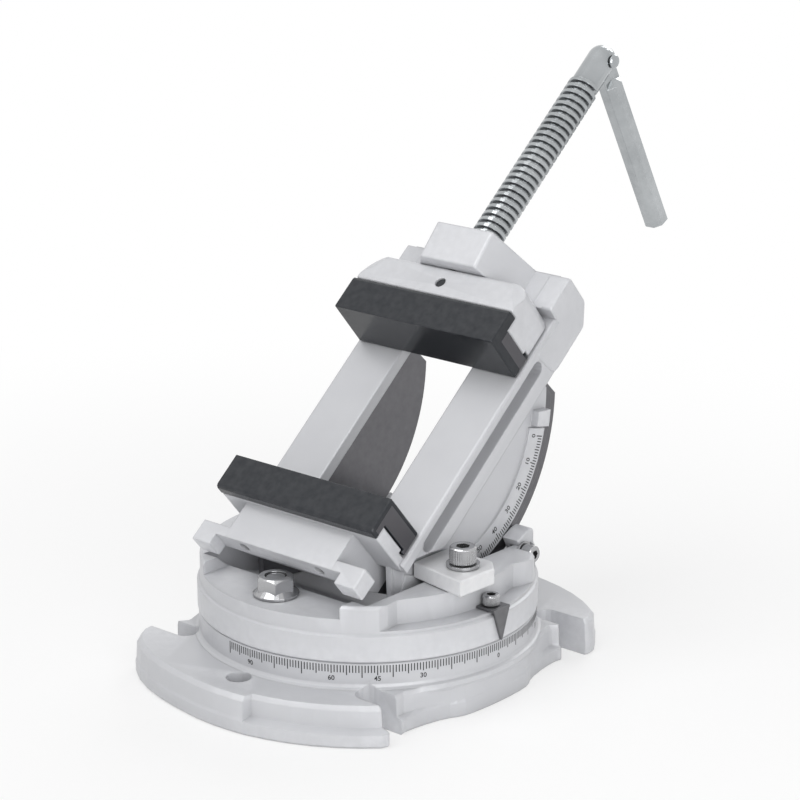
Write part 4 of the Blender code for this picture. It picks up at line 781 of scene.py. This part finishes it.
@dataclass
class TiltScale:
    """Graduated arc on the right quadrant, read at the tilt index, in the tilting frame."""

    finisher: Finisher
    face: float = 0.0453
    outer: float = 0.0803
    short: float = 0.0028
    middle: float = 0.0034
    long: float = 0.0042
    half_width: float = 0.00026
    number_height: float = 0.0027
    number_radius: float = 0.0736
    zero: float = math.radians(-56.0)
    last: int = 52

    def _place(self, radius: float, angle: float) -> Vector:
        """World place of a point on the scale's face from its radius and local angle."""
        turned = angle + TILT_AT_REST
        return Vector((self.face + MARK_PROUD, radius * math.cos(turned),
                       TILT_AXIS_HEIGHT + radius * math.sin(turned)))

    def build(self) -> bpy.types.Object:
        """Build the arc's strokes and numbers.

        Returns:
            The scale piece.
        """
        builder = ScaleBuilder("tilt_scale_marks")
        numbers = NumberMaker(self.number_height)
        for degree in range(0, self.last + 1):
            angle = self.zero - math.radians(degree)
            length = self.long if degree % 10 == 0 else self.middle if degree % 5 == 0 else self.short
            stroke = [(self.outer - length, -self.half_width), (self.outer, -self.half_width),
                      (self.outer, self.half_width), (self.outer - length, self.half_width)]
            builder.add([self._place(radius, angle + shift / radius) for radius, shift in stroke],
                        [[0, 1, 2, 3]])
        for degree in range(0, self.last, 10):
            centre = self.zero - math.radians(degree)
            points, faces = numbers.outlines(str(degree))
            laid = [self._place(self.number_radius - point.y, centre + point.x / self.number_radius)
                    for point in points]
            builder.add(laid, faces)
        item = builder.finish()
        self.finisher.dress(item, SCALE_INK)
        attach(item, "tilt_body")
        return item


@dataclass(frozen=True)
class Lamp:
    """One soft square lamp that points at the vise."""

    name: str
    place: tuple[float, float, float]
    size: float
    power: float


@dataclass
class Studio:
    """Pale floor, white surround, soft lamps and the camera of the view."""

    eye: tuple[float, float, float] = (0.842, -0.933, 0.520)
    look: tuple[float, float, float] = (-0.6311, 0.7174, -0.2952)
    roll: float = math.radians(-0.22)
    lens: float = 124.6
    sensor: float = 36.0
    shadow_reach: tuple[float, float] = (0.16, 0.60)
    paper_white: float = 0.60
    floor_size: float = 3.0
    floor_gap: float = 0.0002
    soft_light: float = 0.36
    aim: tuple[float, float, float] = (0.0, 0.02, 0.10)
    lamps: tuple[Lamp, ...] = (
        Lamp("key_lamp", (-0.20, -0.60, 1.15), 0.9, 7.5),
        Lamp("side_lamp", (1.00, -0.60, 0.40), 0.8, 7.5),
        Lamp("back_lamp", (-0.20, 1.10, 0.90), 0.7, 5.5),
    )

    def build_floor(self) -> None:
        """Lay the paper floor, which shows white to the camera away from the shadow."""
        mesh = bpy.data.meshes.new("studio_floor")
        work = bmesh.new()
        bmesh.ops.create_grid(work, x_segments=1, y_segments=1, size=self.floor_size)
        work.to_mesh(mesh)
        work.free()
        floor = bpy.data.objects.new("studio_floor", mesh)
        bpy.context.collection.objects.link(floor)
        floor.location = (0.0, 0.0, -self.floor_gap)
        floor.data.materials.append(self._paper())

    @staticmethod
    def _shown(tree: bpy.types.NodeTree) -> bpy.types.NodeSocket:
        """Mask of the rays that show the background: camera, glossy and transmission rays."""
        path = tree.nodes.new("ShaderNodeLightPath")
        total = path.outputs["Is Camera Ray"]
        for label in ("Is Glossy Ray", "Is Transmission Ray"):
            total = math_node(tree, "MAXIMUM", total, path.outputs[label])
        return total

    def _paper(self) -> bpy.types.Material:
        """Make the floor's paper: lit paper with the object's shadow near it, plain white further out.

        Returns:
            The floor's material.
        """
        material = bpy.data.materials.new(FLOOR_PAPER.name)
        material.use_nodes = True
        tree = material.node_tree
        nodes, links = tree.nodes, tree.links
        paper = nodes["Principled BSDF"]
        paper.inputs["Roughness"].default_value = FLOOR_PAPER.roughness
        place = nodes.new("ShaderNodeTexCoord")
        fibre = nodes.new("ShaderNodeTexNoise")
        fibre.inputs["Scale"].default_value = 220.0
        fibre.inputs["Detail"].default_value = 3.0
        links.new(place.outputs["Object"], fibre.inputs["Vector"])
        tone = nodes.new("ShaderNodeMix")
        tone.data_type = "RGBA"
        links.new(fibre.outputs["Fac"], tone.inputs["Factor"])
        sockets = [item for item in tone.inputs if item.type == "RGBA"]
        sockets[0].default_value = (*FLOOR_PAPER.shade, 1.0)
        sockets[1].default_value = (*FLOOR_PAPER.colour, 1.0)
        links.new(next(item for item in tone.outputs if item.type == "RGBA"), paper.inputs["Base Color"])
        white = nodes.new("ShaderNodeEmission")
        white.inputs["Strength"].default_value = 1.0
        reach = nodes.new("ShaderNodeVectorMath")
        reach.operation = "LENGTH"
        links.new(place.outputs["Object"], reach.inputs[0])
        fade = nodes.new("ShaderNodeMapRange")
        fade.interpolation_type = "SMOOTHSTEP"
        fade.inputs["From Min"].default_value = self.shadow_reach[0]
        fade.inputs["From Max"].default_value = self.shadow_reach[1]
        fade.inputs["To Min"].default_value = self.paper_white
        links.new(reach.outputs["Value"], fade.inputs["Value"])
        share = product(tree, fade.outputs["Result"], self._shown(tree))
        mix = nodes.new("ShaderNodeMixShader")
        links.new(share, mix.inputs["Fac"])
        links.new(paper.outputs["BSDF"], mix.inputs[1])
        links.new(white.outputs["Emission"], mix.inputs[2])
        links.new(mix.outputs["Shader"], nodes["Material Output"].inputs["Surface"])
        return material

    def build_world(self) -> None:
        """Surround the vise with soft even light that shows as white to the camera and in reflections."""
        world = bpy.data.worlds.new("studio")
        bpy.context.scene.world = world
        world.use_nodes = True
        nodes, links = world.node_tree.nodes, world.node_tree.links
        nodes.clear()
        out = nodes.new("ShaderNodeOutputWorld")
        soft = nodes.new("ShaderNodeBackground")
        soft.inputs["Color"].default_value = (1.0, 1.0, 1.0, 1.0)
        soft.inputs["Strength"].default_value = self.soft_light
        white = nodes.new("ShaderNodeBackground")
        white.inputs["Color"].default_value = (1.0, 1.0, 1.0, 1.0)
        white.inputs["Strength"].default_value = 1.0
        mix = nodes.new("ShaderNodeMixShader")
        links.new(self._shown(world.node_tree), mix.inputs["Fac"])
        links.new(soft.outputs["Background"], mix.inputs[1])
        links.new(white.outputs["Background"], mix.inputs[2])
        links.new(mix.outputs["Shader"], out.inputs["Surface"])

    def build_lamps(self) -> None:
        """Hang the key lamp, the side lamp and the back lamp."""
        aim = Vector(self.aim)
        for lamp in self.lamps:
            data = bpy.data.lights.new(lamp.name, "AREA")
            data.shape = "SQUARE"
            data.size = lamp.size
            data.energy = lamp.power
            item = bpy.data.objects.new(lamp.name, data)
            bpy.context.collection.objects.link(item)
            item.location = lamp.place
            item.rotation_mode = "QUATERNION"
            item.rotation_quaternion = (aim - Vector(lamp.place)).to_track_quat("-Z", "Y")

    def build_camera(self) -> None:
        """Place the camera at the photograph's viewing angle."""
        look = Vector(self.look).normalized()
        right = look.cross(Vector((0.0, 0.0, 1.0))).normalized()
        up = right.cross(look).normalized()
        turn = Matrix((right, up, -look)).transposed().to_4x4()
        data = bpy.data.cameras.new("camera")
        data.lens = self.lens
        data.sensor_width = self.sensor
        data.clip_start = 0.05
        data.clip_end = 20.0
        camera = bpy.data.objects.new("camera", data)
        bpy.context.collection.objects.link(camera)
        camera.matrix_world = (Matrix.Translation(Vector(self.eye)) @ turn
                               @ Matrix.Rotation(self.roll, 4, "Z"))
        bpy.context.scene.camera = camera

    def build(self) -> None:
        """Build the whole studio."""
        self.build_camera()
        self.build_floor()
        self.build_world()
        self.build_lamps()
        bpy.context.scene.view_settings.view_transform = "Standard"


def main() -> None:
    """Load the frame, dress it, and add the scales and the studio."""
    logging.basicConfig(level=logging.INFO, format="%(name)s: %(message)s")
    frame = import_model()
    finisher = Finisher(ShaderTools())
    Studio().build()
    KeptCastings(frame["nodes"], finisher).build()
    LOG.info("dressed %d carried-over solids", len(frame["nodes"]))
    for scale in (SwivelScale(finisher), TiltScale(finisher)):
        LOG.info("built %s", scale.build().name)


if __name__ == "__main__":
    main()
